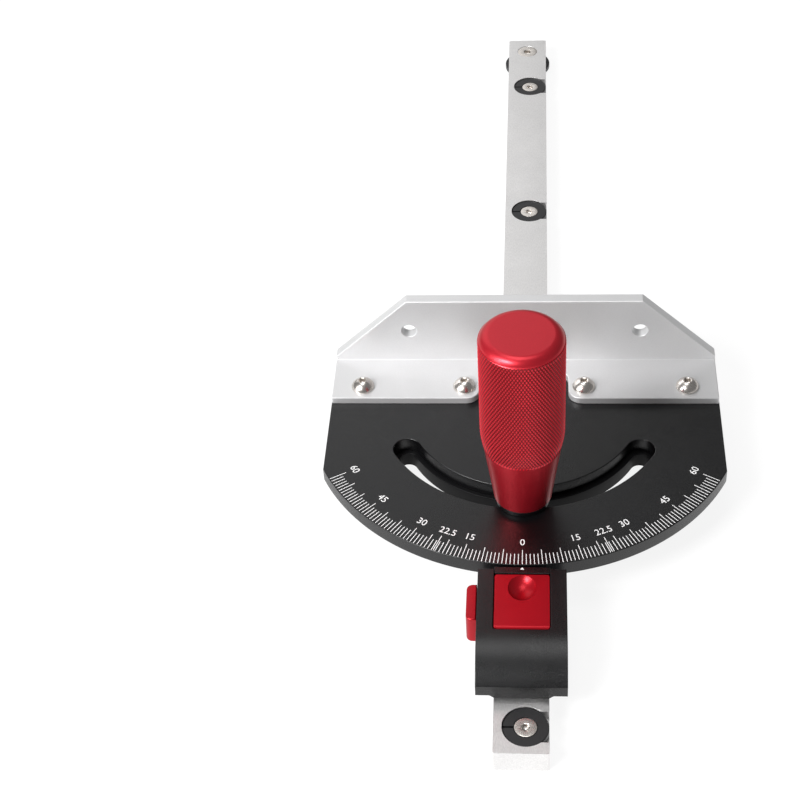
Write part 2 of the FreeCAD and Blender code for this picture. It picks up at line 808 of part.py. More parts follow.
def make_block():
    """The block on the bar that carries the pointer, the stop lever and the lock slide."""
    body = new_body("pointer_block")
    sketch = sketch_on(body, "block_side", "YZ_Plane")
    outline(sketch, [
        ("blockFar", "barThick"),
        ("blockNear", "barThick"),
        ("blockNear", "blockBrow", "blockCurveRadius"),
        ("blockCurveStart", "blockTop"),
        ("blockFar", "blockTop"),
    ])
    pad(body, "block_pad", sketch, "2 * blockHalf", both_ways=True)
    sketch = sketch_on(body, "block_channel", "XY_Plane", "blockTop + past")
    outline(sketch, [
        ("-channelHalf", "channelNear"),
        ("channelHalf", "channelNear"),
        ("channelHalf", "blockFar + past"),
        ("-channelHalf", "blockFar + past"),
    ])
    pocket(body, "block_channel_cut", sketch, "blockTop + past - channelFloor")
    for side, sign in (("left", "-"), ("right", "")):
        sketch = sketch_on(body, "wing_relief_" + side, "XZ_Plane")
        outline(sketch, [
            (f"{sign}barWidth / 2", "barThick - past"),
            (f"{sign}(blockHalf + past)", "barThick - past"),
            (f"{sign}(blockHalf + past)", "blockWingBottom"),
            (f"{sign}(channelHalf + wingSlope)", "blockWingBottom"),
            (f"{sign}barWidth / 2", "barThick"),
        ])
        pocket(body, "wing_relief_cut_" + side, sketch, "barLength", both_ways=True)
    outer_edges = edges_where(
        body.Shape,
        lambda edge, middle: abs(abs(middle.x) - SIZES["blockHalf"]) < 0.01
        and middle.z > SIZES["blockWingBottom"] + SIZES["past"])
    dress(body, "Chamfer", "block_break", outer_edges, "edgeBreak")
    holes = [
        upright("block_spring_hole", "springRadius + springPlay", 0, "springY",
                "barThick - past", "channelFloor + past"),
        cross_cylinder("block_pin_hole", "leverPinRadius", "-leverPinEnd", "blockHalf + past",
                       "leverPivotY", "leverPivotZ"),
        box("block_window", "-blockHalf - past", "-channelHalf + past",
            "lockNear - windowGap", "lockFar + windowGap",
            "ridgeLevel + rampSlope * lockStepX + lockGap - windowGap", "lockTop + windowGap"),
    ]
    for end in ("Near", "Far"):
        holes.append(upright("block_tap_" + end, "cskShankRadius", 0, "blockScrew" + end,
                             "barThick - past", "barThick + blockTap" + end))
    finish(cut("block_drilled", body, *holes), "pointer_block")


def make_pointer():
    """The insert that bears the pointer mark, on two legs that straddle the lever's arm."""
    node = "pointer_plate"
    plate = box(node + "_box", "-channelHalf", "channelHalf",
                "pointerFar - pointerThick", "pointerFar", "channelFloor", "pointerTop")
    arch = box(node + "_arch", "-archHalf", "archHalf", "pointerFar - pointerThick - past",
               "pointerFar + past", "channelFloor - past", "pointerBottom")
    finish(cut(node + "_cut", plate, arch), node)


def make_lever_pin():
    """The cross pin that the stop lever rocks on."""
    rod = cross_cylinder("lever_pin_rod", "leverPinRadius", "-leverPinEnd", "blockHalf - edgeBreak",
                         "leverPivotY", "leverPivotZ")
    finish(rod, "lever_pin")


def make_spring():
    """The lever's return spring, as a sleeve of the coil's size."""
    sleeve = upright("spring_sleeve", "springRadius", 0, "springY", "springBottom", "springTop")
    bore = upright("spring_bore", "springRadius - springWire", 0, "springY",
                   "springBottom - past", "springTop + past")
    finish(cut("spring_cut", sleeve, bore), "lever_spring")


def make_lever():
    """The red thumb lever: flat near the block's brow, rising past a crease, with a thumb dimple."""
    slab = new_body("stop_lever")
    sketch = sketch_on(slab, "lever_side", "YZ_Plane")
    outline(sketch, [
        ("leverNear", "leverBottom"),
        ("leverFar", "leverBottom"),
        ("leverFar", "leverTop + leverRise"),
        ("leverCrease", "leverTop"),
        ("leverNear", "leverTop"),
    ])
    pad(slab, "lever_pad", sketch, "2 * leverHalf", both_ways=True)
    dimple = document.addObject("Part::Ellipsoid", "stop_lever_dimple")
    bind(dimple, {"Radius1": "dimpleHalfZ", "Radius2": "dimpleHalfX", "Radius3": "dimpleHalfY"})
    place(dimple, 0, "dimpleY", "leverTop + dimpleLift")
    finish(cut("stop_lever_cut", slab, dimple), "stop_lever")


def make_lever_arm():
    """The steel arm under the lever, with the ridge that the lock slide bears on."""
    node = "lever_arm"
    root = box(node + "_root", "-armHalf", "armHalf", "armBodyNear", "armBodyFar",
               "armBottom", "leverBottom")
    reach = box(node + "_reach", "-armHalf", "armHalf", "armBodyFar", "armFar",
                "armBottom", "armTop")
    body = new_body(node + "_ridge")
    sketch = sketch_on(body, "ridge_section", "XZ_Plane", "-ridgeFar")
    outline(sketch, [
        ("-armHalf", "armTop - past"),
        ("armHalf", "armTop - past"),
        ("armHalf", "ridgeLevel + rampSlope * armHalf"),
        ("-armHalf", "ridgeLevel - rampSlope * armHalf"),
    ])
    pad(body, "ridge_pad", sketch, "ridgeFar - ridgeNear")
    pin_bore = cross_cylinder(node + "_bore", "leverPinRadius + runningGap", "-armHalf - past",
                              "armHalf + past", "leverPivotY", "leverPivotZ")
    index_bore = upright(node + "_index", "indexPinRadius", 0, "indexPinY", "armBottom - past",
                         "armTop + past")
    blank = fuse(node + "_blank", root, reach, body)
    finish(cut(node + "_cut", blank, pin_bore, index_bore), node)


def make_index_pin():
    """The steel pin that rises into the index holes."""
    node = "index_pin"
    neck = "indexPinTop - indexPinTaper"
    rod = upright(node + "_rod", "indexPinRadius", 0, "indexPinY", "armBottom", neck)
    tip = cone(node + "_tip", "indexPinRadius", "indexPinRadius - indexPinTaper", 0, "indexPinY",
               neck, "indexPinTop")
    finish(fuse(node + "_fuse", rod, tip), node)


# ---------------------------------------------------------------- lock slide

def make_lock():
    """The slide with an outside button and a ramp that holds the lever's arm down."""
    body = new_body("lock_slide")
    sketch = sketch_on(body, "slide_section", "XZ_Plane", "-lockFar")
    low = "ridgeLevel + rampSlope * lockStepX + lockGap"
    outline(sketch, [
        ("buttonInner", low),
        ("lockStepX", low),
        ("lockInnerEnd", "ridgeLevel + rampSlope * lockInnerEnd + lockGap"),
        ("lockInnerEnd", "lockTop"),
        ("buttonInner", "lockTop"),
    ])
    pad(body, "slide_pad", sketch, "lockFar - lockNear")
    finish(body, "lock_slide")

    knob = new_body("lock_button")
    sketch = sketch_on(knob, "button_face", "YZ_Plane", "buttonOuter")
    outline(sketch, [
        ("buttonNear", "buttonBottom"),
        ("buttonFar", "buttonBottom"),
        ("buttonFar", "buttonTop"),
        ("buttonNear", "buttonTop"),
    ])
    pad(knob, "button_pad", sketch, "buttonInner - buttonOuter")
    height = SIZES["buttonTop"] - SIZES["buttonBottom"]
    upright_edges = edges_where(
        knob.Shape,
        lambda edge, middle: abs(middle.x - SIZES["buttonOuter"]) < 0.01
        and abs(edge.Length - height) < 0.01)
    dress(knob, "Fillet", "button_round", upright_edges, "buttonRound")
    finish(knob, "lock_button")


# ---------------------------------------------------------------- build and write

finish_bar()
for ring_name, ring_y in RING_POSITIONS.items():
    make_ring(ring_name, ring_y)
    csk_screw("expansion_screw_" + ring_name, "ringOffset", ring_y, "barThick - ringSink",
              "ringScrewEnd")
csk_screw("t_slot_screw", "0", "farScrewY", "barThick - farSink", "farScrewEnd", family="far")
make_slot_disc()
make_scale_plate()
make_head_base()
make_bush()
make_bracket()
for screw_name, screw_x in bracket_screw_places():
    make_bracket_screw(screw_name, screw_x)
for screw_name, screw_x, screw_y in base_screw_places():
    csk_screw("base_screw_" + screw_name, screw_x, screw_y, "barThick + headGap",
              "baseTapTop - tapSpare")
make_pivot()
make_clamp()
make_handle()
make_block()
make_pointer()
for screw_end in ("Near", "Far"):
    csk_screw("block_screw_" + screw_end.lower(), "0", "blockScrew" + screw_end, "0",
              f"barThick + blockTap{screw_end} - tapSpare")
make_lever_pin()
make_spring()
make_lever()
make_lever_arm()
make_index_pin()
make_lock()

document.recompute()
for item in document.Objects:
    if "Invalid" in item.State or "Error" in item.State:
        raise RuntimeError(item.Label + " failed: " + str(item.State))
os.makedirs("parts", exist_ok=True)
for item in finished:
    shape = item.Shape
    if shape.isNull() or not shape.isValid():
        raise RuntimeError(item.Label + " has no valid shape")
    shape.exportStep(os.path.join("parts", item.Label + ".step"))
    print(item.Label, len(shape.Solids), round(shape.Volume, 1))
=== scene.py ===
"""Looks of a table-saw mitre gauge, built on its CAD frame.

Every shape is worked out in millimetres, in the frame's own axes, and scaled to metres when its
piece is made. Places come from the boxes of the CAD nodes. The floor, lights and camera are
placed in metres.
"""

import json
import math

import bmesh
import bpy
from mathutils import Matrix, Vector


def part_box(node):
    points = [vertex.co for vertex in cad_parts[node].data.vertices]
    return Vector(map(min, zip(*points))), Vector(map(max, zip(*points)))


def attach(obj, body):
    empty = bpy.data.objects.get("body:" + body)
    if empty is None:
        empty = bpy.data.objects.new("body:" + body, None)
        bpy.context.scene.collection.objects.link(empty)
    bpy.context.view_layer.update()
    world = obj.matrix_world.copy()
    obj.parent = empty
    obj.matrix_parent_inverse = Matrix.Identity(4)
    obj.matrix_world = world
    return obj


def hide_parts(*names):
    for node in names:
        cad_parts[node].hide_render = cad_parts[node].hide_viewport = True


MM = 0.001
CIRCLE_STEPS = 72
FINE_STEPS = 96
HOLE_STEPS = 32
SUNK_STEPS = 48
EDGE_STEPS = 3
# a hexagon's corner radius, for a half width of 1
HEX_CORNER = 2 / math.sqrt(3)
# how far a cutter runs past the faces that it cuts
PAST = 1

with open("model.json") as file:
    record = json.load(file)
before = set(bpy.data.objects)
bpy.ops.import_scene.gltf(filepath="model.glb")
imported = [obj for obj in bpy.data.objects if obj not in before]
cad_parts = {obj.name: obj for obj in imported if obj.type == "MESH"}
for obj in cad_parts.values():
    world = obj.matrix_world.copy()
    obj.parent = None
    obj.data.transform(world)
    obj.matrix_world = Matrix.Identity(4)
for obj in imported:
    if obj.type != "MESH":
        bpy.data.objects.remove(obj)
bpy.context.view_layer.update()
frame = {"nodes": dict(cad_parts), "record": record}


# ---------------------------------------------------------------- outlines and solids

def corners(node):
    """A CAD node's lowest and highest corners, in millimetres."""
    low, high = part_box(node)
    return low / MM, high / MM


def middle(node):
    """The middle of a CAD node's box, in millimetres."""
    low, high = corners(node)
    return (low + high) / 2


def at_angle(radius, degrees):
    """A point of the head at a scale angle, counted from -Y towards +X."""
    turn = math.radians(degrees)
    return Vector((radius * math.sin(turn), -radius * math.cos(turn)))


def circle(x, y, radius, count=CIRCLE_STEPS):
    """A circle as a counter-clockwise outline."""
    turns = [2 * math.pi * step / count for step in range(count)]
    return [Vector((x + radius * math.cos(turn), y + radius * math.sin(turn))) for turn in turns]


def rounded(places, steps=6):
    """An outline from corners (x, y, radius), each rounded by its radius."""
    outline = []
    for index, (x, y, radius) in enumerate(places):
        here = Vector((x, y))
        if not radius:
            outline.append(here)
            continue
        before = (Vector(places[index - 1][:2]) - here).normalized()
        after = (Vector(places[(index + 1) % len(places)][:2]) - here).normalized()
        half = before.angle(after) / 2
        centre = here + (before + after).normalized() * (radius / math.sin(half))
        start = here + before * (radius / math.tan(half)) - centre
        end = here + after * (radius / math.tan(half)) - centre
        for step in range(steps + 1):
            outline.append(centre + start.slerp(end, step / steps) * radius)
    return outline


def inset(outline, distance):
    """Move each point of a closed outline to its left."""
    moved = []
    for index, here in enumerate(outline):
        before = (here - outline[index - 1]).normalized()
        after = (outline[(index + 1) % len(outline)] - here).normalized()
        left = Vector((-before.y - after.y, before.x + after.x)).normalized()
        square = max(left.dot(Vector((-before.y, before.x))), 0.5)
        moved.append(here + left * (distance / square))
    return moved


def arc_slot(radius, half_width, half_angle, count=60):
    """A curved slot with round ends, as a counter-clockwise outline."""
    outline = []
    end_steps = 16
    for step in range(count + 1):
        outline.append(at_angle(radius + half_width, half_angle * (2 * step / count - 1)))
    for side in (1, -1):
        end = at_angle(radius, side * half_angle)
        outward = end.normalized()
        along = Vector((-outward.y, outward.x)) * side
        for step in range(1, end_steps):
            turn = math.pi * step / end_steps
            spoke = outward * (math.cos(turn) * side) + along * math.sin(turn)
            outline.append(end + spoke * half_width)
        if side == 1:
            for step in range(count + 1):
                outline.append(at_angle(radius - half_width, half_angle * (1 - 2 * step / count)))
    return outline


def tube(rings):
    """A closed solid through equal rings of points, capped at both ends."""
    solid = bmesh.new()
    rows = [[solid.verts.new(point) for point in ring] for ring in rings]
    for lower, upper in zip(rows, rows[1:]):
        for index in range(len(lower)):
            following = (index + 1) % len(lower)
            solid.faces.new((lower[index], lower[following], upper[following], upper[index]))
    solid.faces.new(rows[0][::-1])
    solid.faces.new(rows[-1])
    return solid


def turned(x, y, profile, count=CIRCLE_STEPS):
    """A turned solid about an upright axis, from (radius, z) and (half width, z, "hex") points."""
    rings = []
    for radius, z, *shape in profile:
        ring = []
        for step in range(count):
            turn = 2 * math.pi * step / count
            reach = radius
            if shape:
                reach = radius / math.cos(turn % (math.pi / 3) - math.pi / 6)
            ring.append(Vector((x + reach * math.cos(turn), y + reach * math.sin(turn), z)))
        rings.append(ring)
    return tube(rings)


def corner_round(radius, z, size, start, steps=5):
    """Profile points of a quarter turn; start is the first point's angle in degrees."""
    points = []
    for step in range(steps + 1):
        turn = math.radians(start + 90 * step / steps)
        points.append((radius + size * math.cos(turn), z + size * math.sin(turn)))
    return points


def plate(low, high, edge, outline, *holes):
    """A flat solid with rounded edges; the outline and its holes run counter-clockwise."""
    levels = []
    for step in range(EDGE_STEPS + 1):
        turn = math.pi / 2 * step / EDGE_STEPS
        levels.append((edge * (1 - math.cos(turn)), edge * (1 - math.sin(turn))))
    stack = [(low + rise, shrink) for rise, shrink in levels]
    stack += [(high - rise, shrink) for rise, shrink in levels[::-1]]
    solid = bmesh.new()
    ends = ([], [])
    for loop in (outline, *[hole[::-1] for hole in holes]):
        rows = []
        for z, shrink in stack:
            flat = inset(loop, shrink)
            rows.append([solid.verts.new((point.x, point.y, z)) for point in flat])
        for lower, upper in zip(rows, rows[1:]):
            for index in range(len(lower)):
                following = (index + 1) % len(lower)
                solid.faces.new((lower[index], lower[following], upper[following], upper[index]))
        for side, row in ((0, rows[0]), (1, rows[-1])):
            for index, vertex in enumerate(row):
                ends[side].append(solid.edges.get((vertex, row[(index + 1) % len(row)])))
    for edges in ends:
        bmesh.ops.triangle_fill(solid, use_beauty=True, use_dissolve=False, edges=edges)
    return solid


def prism(outline, low, high, axis="Z"):
    """A sharp-edged solid; along X the outline is (y, z), and along Y it is (x, z)."""
    order = {"X": (2, 0, 1), "Y": (0, 2, 1), "Z": (0, 1, 2)}[axis]
    rings = []
    for level in (low, high):
        spots = [(point[0], point[1], level) for point in outline]
        rings.append([Vector((spot[order[0]], spot[order[1]], spot[order[2]])) for spot in spots])
    return tube(rings)


def block(low, high):
    """A sharp-edged box between two corners."""
    outline = [(low[0], low[1]), (high[0], low[1]), (high[0], high[1]), (low[0], high[1])]
    return prism(outline, low[2], high[2])


def join(*solids):
    """Several solids in one mesh."""
    whole = bmesh.new()
    for solid in solids:
        mesh = bpy.data.meshes.new("joined")
        solid.to_mesh(mesh)
        solid.free()
        whole.from_mesh(mesh)
        bpy.data.meshes.remove(mesh)
    return whole


def scratch_object(solid):
    """A temporary object with outward faces."""
    bmesh.ops.recalc_face_normals(solid, faces=solid.faces)
    mesh = bpy.data.meshes.new("scratch")
    solid.to_mesh(mesh)
    solid.free()
    item = bpy.data.objects.new("scratch", mesh)
    bpy.context.scene.collection.objects.link(item)
    return item


def carve(solid, *cutters):
    """A solid less the cutters."""
    base = scratch_object(solid)
    tools = [scratch_object(cutter) for cutter in cutters]
    for tool in tools:
        change = base.modifiers.new("cut", "BOOLEAN")
        change.operation = "DIFFERENCE"
        change.solver = "EXACT"
        change.object = tool
    bpy.context.view_layer.update()
    result = bmesh.new()
    result.from_object(base, bpy.context.evaluated_depsgraph_get())
    bmesh.ops.dissolve_degenerate(result, dist=0.001, edges=result.edges)
    for item in (base, *tools):
        mesh = item.data
        bpy.data.objects.remove(item)
        bpy.data.meshes.remove(mesh)
    return result


def washer_solid(node, edge, hole, count=CIRCLE_STEPS):
    """A washer with rounded rims, as large as its CAD node."""
    low, high = corners(node)
    centre = middle(node)
    radius = (high.x - low.x) / 2
    profile = corner_round(radius - edge, low.z + edge, edge, -90)
    profile += corner_round(radius - edge, high.z - edge, edge, 0)
    bore = prism(circle(centre.x, centre.y, hole), low.z - PAST, high.z + PAST)
    return carve(turned(centre.x, centre.y, profile, count), bore)


def piece(name, solid, body, material, nodes=(), soften=0, sharp=32):
    """Make a piece from a solid, on a body, in place of CAD nodes, with softened edges if asked."""
    bmesh.ops.recalc_face_normals(solid, faces=solid.faces)
    mesh = bpy.data.meshes.new(name)
    solid.to_mesh(mesh)
    solid.free()
    mesh.transform(Matrix.Scale(MM, 4))
    mesh.materials.append(material)
    mesh.polygons.foreach_set("use_smooth", [True] * len(mesh.polygons))
    mesh.set_sharp_from_angle(angle=math.radians(sharp))
    item = bpy.data.objects.new(name, mesh)
    bpy.context.scene.collection.objects.link(item)
    if soften:
        bevel = item.modifiers.new("edges", "BEVEL")
        bevel.width = soften * MM
        bevel.segments = 3
        bevel.limit_method = "ANGLE"
        bevel.angle_limit = math.radians(28)
        bevel.use_clamp_overlap = True
        bevel.miter_outer = "MITER_ARC"
    weighted = item.modifiers.new("normals", "WEIGHTED_NORMAL")
    weighted.keep_sharp = True
    weighted.weight = 100
    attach(item, body)
    if nodes:
        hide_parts(*nodes)
    return item


# ---------------------------------------------------------------- materials

def surface(name, colour, roughness, metallic=0.0, grain=0.35, bump=0.15, mottle=0.12,
            uneven=0.08, stretch=(1, 1, 1), specular=0.5, edge=1.0, coat=0.0, painted_knurl_light=False):
    """A surface with fine grain (its size in mm), slow mottling, and uneven gloss.

    With painted knurl light, the mesh's "height" from 0 to 1 scales the base colour: painted shade
    in the hollows and a painted highlight on the tips.
    """
    coat_roughness = 0.3
    slow_share = 0.35
    noise_low = 0.3
    noise_high = 0.7
    # base colour scales of the painted knurl light: painted shade at height 0, painted highlight at
    # height 1
    hollow = 0.38
    tip_highlight = 2.1
    relief_depth = 0.1 * MM
    material = bpy.data.materials.new(name)
    material.use_nodes = True
    nodes = material.node_tree.nodes
    links = material.node_tree.links
    shader = nodes["Principled BSDF"]
    shader.inputs["Metallic"].default_value = metallic
    shader.inputs["Specular IOR Level"].default_value = specular
    shader.inputs["Coat Weight"].default_value = coat
    shader.inputs["Coat Roughness"].default_value = coat_roughness
    shader.inputs["Specular Tint"].default_value = (edge, edge, edge, 1)

    place = nodes.new("ShaderNodeTexCoord")
    mapping = nodes.new("ShaderNodeMapping")
    mapping.inputs["Scale"].default_value = stretch
    links.new(place.outputs["Object"], mapping.inputs["Vector"])

    fine = nodes.new("ShaderNodeTexNoise")
    fine.inputs["Scale"].default_value = 1 / (grain * MM)
    fine.inputs["Detail"].default_value = 3
    fine.inputs["Roughness"].default_value = 0.6
    links.new(mapping.outputs["Vector"], fine.inputs["Vector"])
    slow = nodes.new("ShaderNodeTexNoise")
    slow.inputs["Scale"].default_value = 60
    slow.inputs["Detail"].default_value = 2
    links.new(place.outputs["Object"], slow.inputs["Vector"])

    blend = nodes.new("ShaderNodeMix")
    blend.data_type = "FLOAT"
    blend.inputs["Factor"].default_value = slow_share
    links.new(fine.outputs["Fac"], blend.inputs["A"])
    links.new(slow.outputs["Fac"], blend.inputs["B"])
    ramp = nodes.new("ShaderNodeValToRGB")
    dark, light = ramp.color_ramp.elements
    dark.position = noise_low
    light.position = noise_high
    dark.color = [channel * (1 - mottle) for channel in colour] + [1]
    light.color = [min(channel * (1 + mottle), 1) for channel in colour] + [1]
    links.new(blend.outputs["Result"], ramp.inputs["Fac"])
    # painted shade in the knurl's hollows and a painted highlight on its tips, scaled in by the
    # mesh's height
    if painted_knurl_light:
        height = nodes.new("ShaderNodeAttribute")
        height.attribute_name = "height"
        shade = nodes.new("ShaderNodeMapRange")
        shade.inputs["To Min"].default_value = hollow
        shade.inputs["To Max"].default_value = tip_highlight
        links.new(height.outputs["Fac"], shade.inputs["Value"])
        painted_light = nodes.new("ShaderNodeVectorMath")
        painted_light.operation = "SCALE"
        links.new(ramp.outputs["Color"], painted_light.inputs["Vector"])
        links.new(shade.outputs["Result"], painted_light.inputs["Scale"])
        links.new(painted_light.outputs["Vector"], shader.inputs["Base Color"])
    else:
        links.new(ramp.outputs["Color"], shader.inputs["Base Color"])

    gloss = nodes.new("ShaderNodeMapRange")
    gloss.inputs["From Min"].default_value = noise_low
    gloss.inputs["From Max"].default_value = noise_high
    gloss.inputs["To Min"].default_value = max(roughness - uneven, 0.02)
    gloss.inputs["To Max"].default_value = roughness + uneven
    links.new(blend.outputs["Result"], gloss.inputs["Value"])
    links.new(gloss.outputs["Result"], shader.inputs["Roughness"])

    relief = nodes.new("ShaderNodeBump")
    relief.inputs["Strength"].default_value = bump
    relief.inputs["Distance"].default_value = relief_depth
    links.new(fine.outputs["Fac"], relief.inputs["Height"])
    links.new(relief.outputs["Normal"], shader.inputs["Normal"])
    return material


def bar_metal():
    """Ground steel, with its grain drawn out along the bar."""
    return surface("bar_metal", (0.85, 0.84, 0.835), roughness=0.36, metallic=1.0, grain=0.4,
                   bump=0.12, uneven=0.06, stretch=(1, 0.35, 1))


def black_nylon():
    """Moulded black nylon."""
    return surface("black_nylon", (0.012, 0.012, 0.013), roughness=0.42, grain=0.5, bump=0.1,
                   mottle=0.2)


def screw_steel():
    """Polished stainless steel."""
    return surface("screw_steel", (0.72, 0.68, 0.64), roughness=0.27, metallic=1.0, grain=0.6,
                   bump=0.0, mottle=0.03, uneven=0.01)


def dark_steel():
    """Blackened steel."""
    return surface("dark_steel", (0.05, 0.05, 0.053), roughness=0.4, metallic=1.0, grain=0.5,
                   bump=0.1, mottle=0.15)


def black_anodised():
    """Satin black anodised aluminium, finely blasted."""
    return surface("black_anodised", (0.0025, 0.0025, 0.003), roughness=0.3, grain=0.25, bump=0.5,
                   mottle=0.4, uneven=0.07)


def base_black():
    """Dull black anodised aluminium."""
    return surface("base_black", (0.003, 0.003, 0.0035), roughness=0.5, grain=0.3, bump=0.1,
                   mottle=0.2, specular=0.15)


def silver_aluminium():
    """Finely blasted, clear anodised aluminium."""
    return surface("silver_aluminium", (0.7, 0.7, 0.705), roughness=0.5, metallic=0.62, grain=0.3,
                   bump=0.2, mottle=0.05, uneven=0.04)


def bronze():
    """Sintered bronze."""
    return surface("bronze", (0.45, 0.27, 0.11), roughness=0.45, metallic=1.0, grain=0.5, bump=0.2,
                   mottle=0.15)


def insert_brass():
    """Turned brass."""
    return surface("insert_brass", (0.62, 0.44, 0.16), roughness=0.3, metallic=1.0, grain=0.5,
                   bump=0.05, mottle=0.08)


def grip_red():
    """Satin red anodised aluminium, with painted shade in the knurl's hollows and a painted
    highlight on its tips.
    """
    return surface("grip_red", (0.43, 0.011, 0.022), roughness=0.36, metallic=0.7, grain=0.3,
                   bump=0.12, mottle=0.1, uneven=0.04, edge=0.25, coat=0.5, painted_knurl_light=True)


def lever_red():
    """Satin red anodised aluminium, a little brighter than the grip."""
    return surface("lever_red", (0.41, 0.003, 0.012), roughness=0.34, metallic=0.6, grain=0.3,
                   bump=0.12, mottle=0.1, uneven=0.04, edge=0.5, coat=0.25)


def scale_white():
    """White filling of the scale's marks."""
    return surface("scale_white", (0.82, 0.82, 0.82), roughness=0.6, grain=0.15, bump=0.05,
                   mottle=0.04)


def make_materials():
    """Every material, by its record slot or its own name."""
    makers = (bar_metal, black_nylon, screw_steel, dark_steel, black_anodised, base_black,
              silver_aluminium, bronze, insert_brass, grip_red, lever_red, scale_white)
    return {maker.__name__: maker() for maker in makers}


# ---------------------------------------------------------------- screws

M4 = 2.0
M5 = 2.5
M4_CSK = {"head_radius": 3.9, "shank_radius": M4, "head_depth": 2.0, "socket": 1.25, "depth": 1.2}
M5_CSK = {"head_radius": 5.0, "shank_radius": M5, "head_depth": 2.5, "socket": 1.55, "depth": 1.8}
M5_BUTTON = {"head_radius": 4.5, "shank_radius": M5, "socket": 1.3, "depth": 1.9}
RING_NAMES = ("near", "hidden", "mid", "far")
BRACKET_SCREWS = ("left_outer", "left_inner", "right_inner", "right_outer")
BASE_SCREWS = ("left_near", "left_far", "right_far", "right_near")
BLOCK_SCREWS = ("block_screw_near", "block_screw_far")


def drill_point(socket, z):
    """The end of the drill's cone, under a hex socket whose floor is at z."""
    return (socket * 0.4, z - socket * 0.35)


def csk_profile(node, head_radius, shank_radius, head_depth, socket, depth):
    """The profile of a countersunk hex-socket screw, driven from above."""
    low, high = corners(node)
    rim = 0.2
    return [
        (shank_radius - rim, low.z),
        (shank_radius, low.z + rim),
        (shank_radius, high.z - head_depth),
        (head_radius, high.z - rim),
        (head_radius, high.z - rim / 2),
        (head_radius - rim, high.z),
        (socket * HEX_CORNER + rim, high.z),
        (socket, high.z - rim, "hex"),
        (socket, high.z - depth, "hex"),
        drill_point(socket, high.z - depth),
    ]


def button_profile(node, seat, head_radius, shank_radius, socket, depth):
    """The profile of a button-head hex-socket screw, a high dome on a short straight rim."""
    low, high = corners(node)
    rim = 0.7
    edge_break = 0.2
    socket_break = 0.15
    rise = high.z - seat - rim
    sphere = (head_radius ** 2 + rise ** 2) / (2 * rise)
    profile = [
        (shank_radius, low.z),
        (shank_radius, seat),
        (head_radius - edge_break, seat),
        (head_radius, seat + edge_break),
    ]
    opening = socket * HEX_CORNER + edge_break
    steps = 18
    for step in range(steps + 1):
        radius = head_radius + (opening - head_radius) * step / steps
        z = high.z - sphere + math.sqrt(sphere ** 2 - radius ** 2)
        profile.append((radius, z))
    edge = profile[-1][1]
    profile.append((socket, edge - socket_break, "hex"))
    profile.append((socket, edge - depth, "hex"))
    profile.append(drill_point(socket, edge - depth))
    return profile


def flipped(solid, z):
    """A solid turned upside down about a level."""
    solid.transform(Matrix.Translation((0, 0, z)) @ Matrix.Diagonal((1, 1, -1, 1))
                    @ Matrix.Translation((0, 0, -z)))
    return solid


def add_screw(node, body, steel, profile, upside_down=False):
    """A turned screw in place of its CAD node."""
    centre = middle(node)
    solid = turned(centre.x, centre.y, profile)
    if upside_down:
        solid = flipped(solid, centre.z)
    piece(node + "_turned", solid, body, steel, [node])


def add_screws(materials):
    """Every screw of the bar and the head."""
    steel = materials["screw_steel"]
    for name in RING_NAMES:
        node = "expansion_screw_" + name
        add_screw(node, "bar", steel, csk_profile(node, **M4_CSK))
    slot_screw = turned(0, middle("t_slot_screw").y, csk_profile("t_slot_screw", **M5_CSK))
    piece("t_slot_screw_turned", slot_screw, "bar", steel, ["t_slot_screw"])
    for name in BASE_SCREWS:
        node = "base_screw_" + name
        add_screw(node, "head", steel, csk_profile(node, **M4_CSK), upside_down=True)
    for node in BLOCK_SCREWS:
        add_screw(node, "bar", steel, csk_profile(node, **M4_CSK), upside_down=True)
    seat = corners("fence_bracket")[0].z + FLANGE_THICK
    for name in BRACKET_SCREWS:
        node = "bracket_screw_" + name
        add_screw(node, "head", steel, button_profile(node, seat, **M5_BUTTON))


# ---------------------------------------------------------------- bar

BAR_CORNER = 0.8
BAR_HOLE_FLOOR = 1.0
POCKET_DEPTH = 3.6
POCKET_PLAY = 0.15
POCKET_MOUTH = 12.6
RING_SLIT = 0.8
DISC_PLAY = 0.3
BLOCK_SEAT = 4.0
BAR_BORES = {"clamp_stud": 3.0, "pivot_bolt": 4.0, "lever_spring": 2.6}


def pocket_outline(x, y, radius, side):
    """A ring's round pocket, with a straight-sided mouth out to the bar's side."""
    half = POCKET_MOUTH / 2
    round_part = [point for point in circle(x, y, radius)
                  if not (point.x > x and abs(point.y - y) < half)]
    lower = [point for point in round_part if point.y < y]
    upper = [point for point in round_part if point.y > y]
    lower.sort(key=lambda point: math.atan2(point.y - y, point.x - x) % (2 * math.pi))
    upper.sort(key=lambda point: math.atan2(point.y - y, point.x - x))
    inner = x + math.sqrt(radius ** 2 - half ** 2)
    mouth = [Vector((inner, y - half)), Vector((side + PAST, y - half)),
             Vector((side + PAST, y + half)), Vector((inner, y + half))]
    return mouth + upper + lower


def slot_screw_cutters(top):
    """The slot screw's countersunk hole and the recess for the slot disc."""
    screw = middle("t_slot_screw")
    disc_low, disc_high = corners("t_slot_disc")
    seat_radius = 5.35
    seat_depth = 2.65
    above = 0.2
    hole = turned(screw.x, screw.y, [(M5, BAR_HOLE_FLOOR), (M5, top - seat_depth),
                                     (seat_radius, top + above)])
    recess = circle(screw.x, screw.y, (disc_high.x - disc_low.x) / 2 + DISC_PLAY)
    return [hole, prism(recess, -PAST, disc_high.z)]


def sunk_hole(node, seat_radius, bottom, top):
    """The cutter of an M4 hole, countersunk from below."""
    centre = middle(node)
    below = 0.1
    profile = [(seat_radius, bottom - below), (M4, bottom + M4_CSK["head_depth"]),
               (M4, top + PAST)]
    return turned(centre.x, centre.y, profile, SUNK_STEPS)


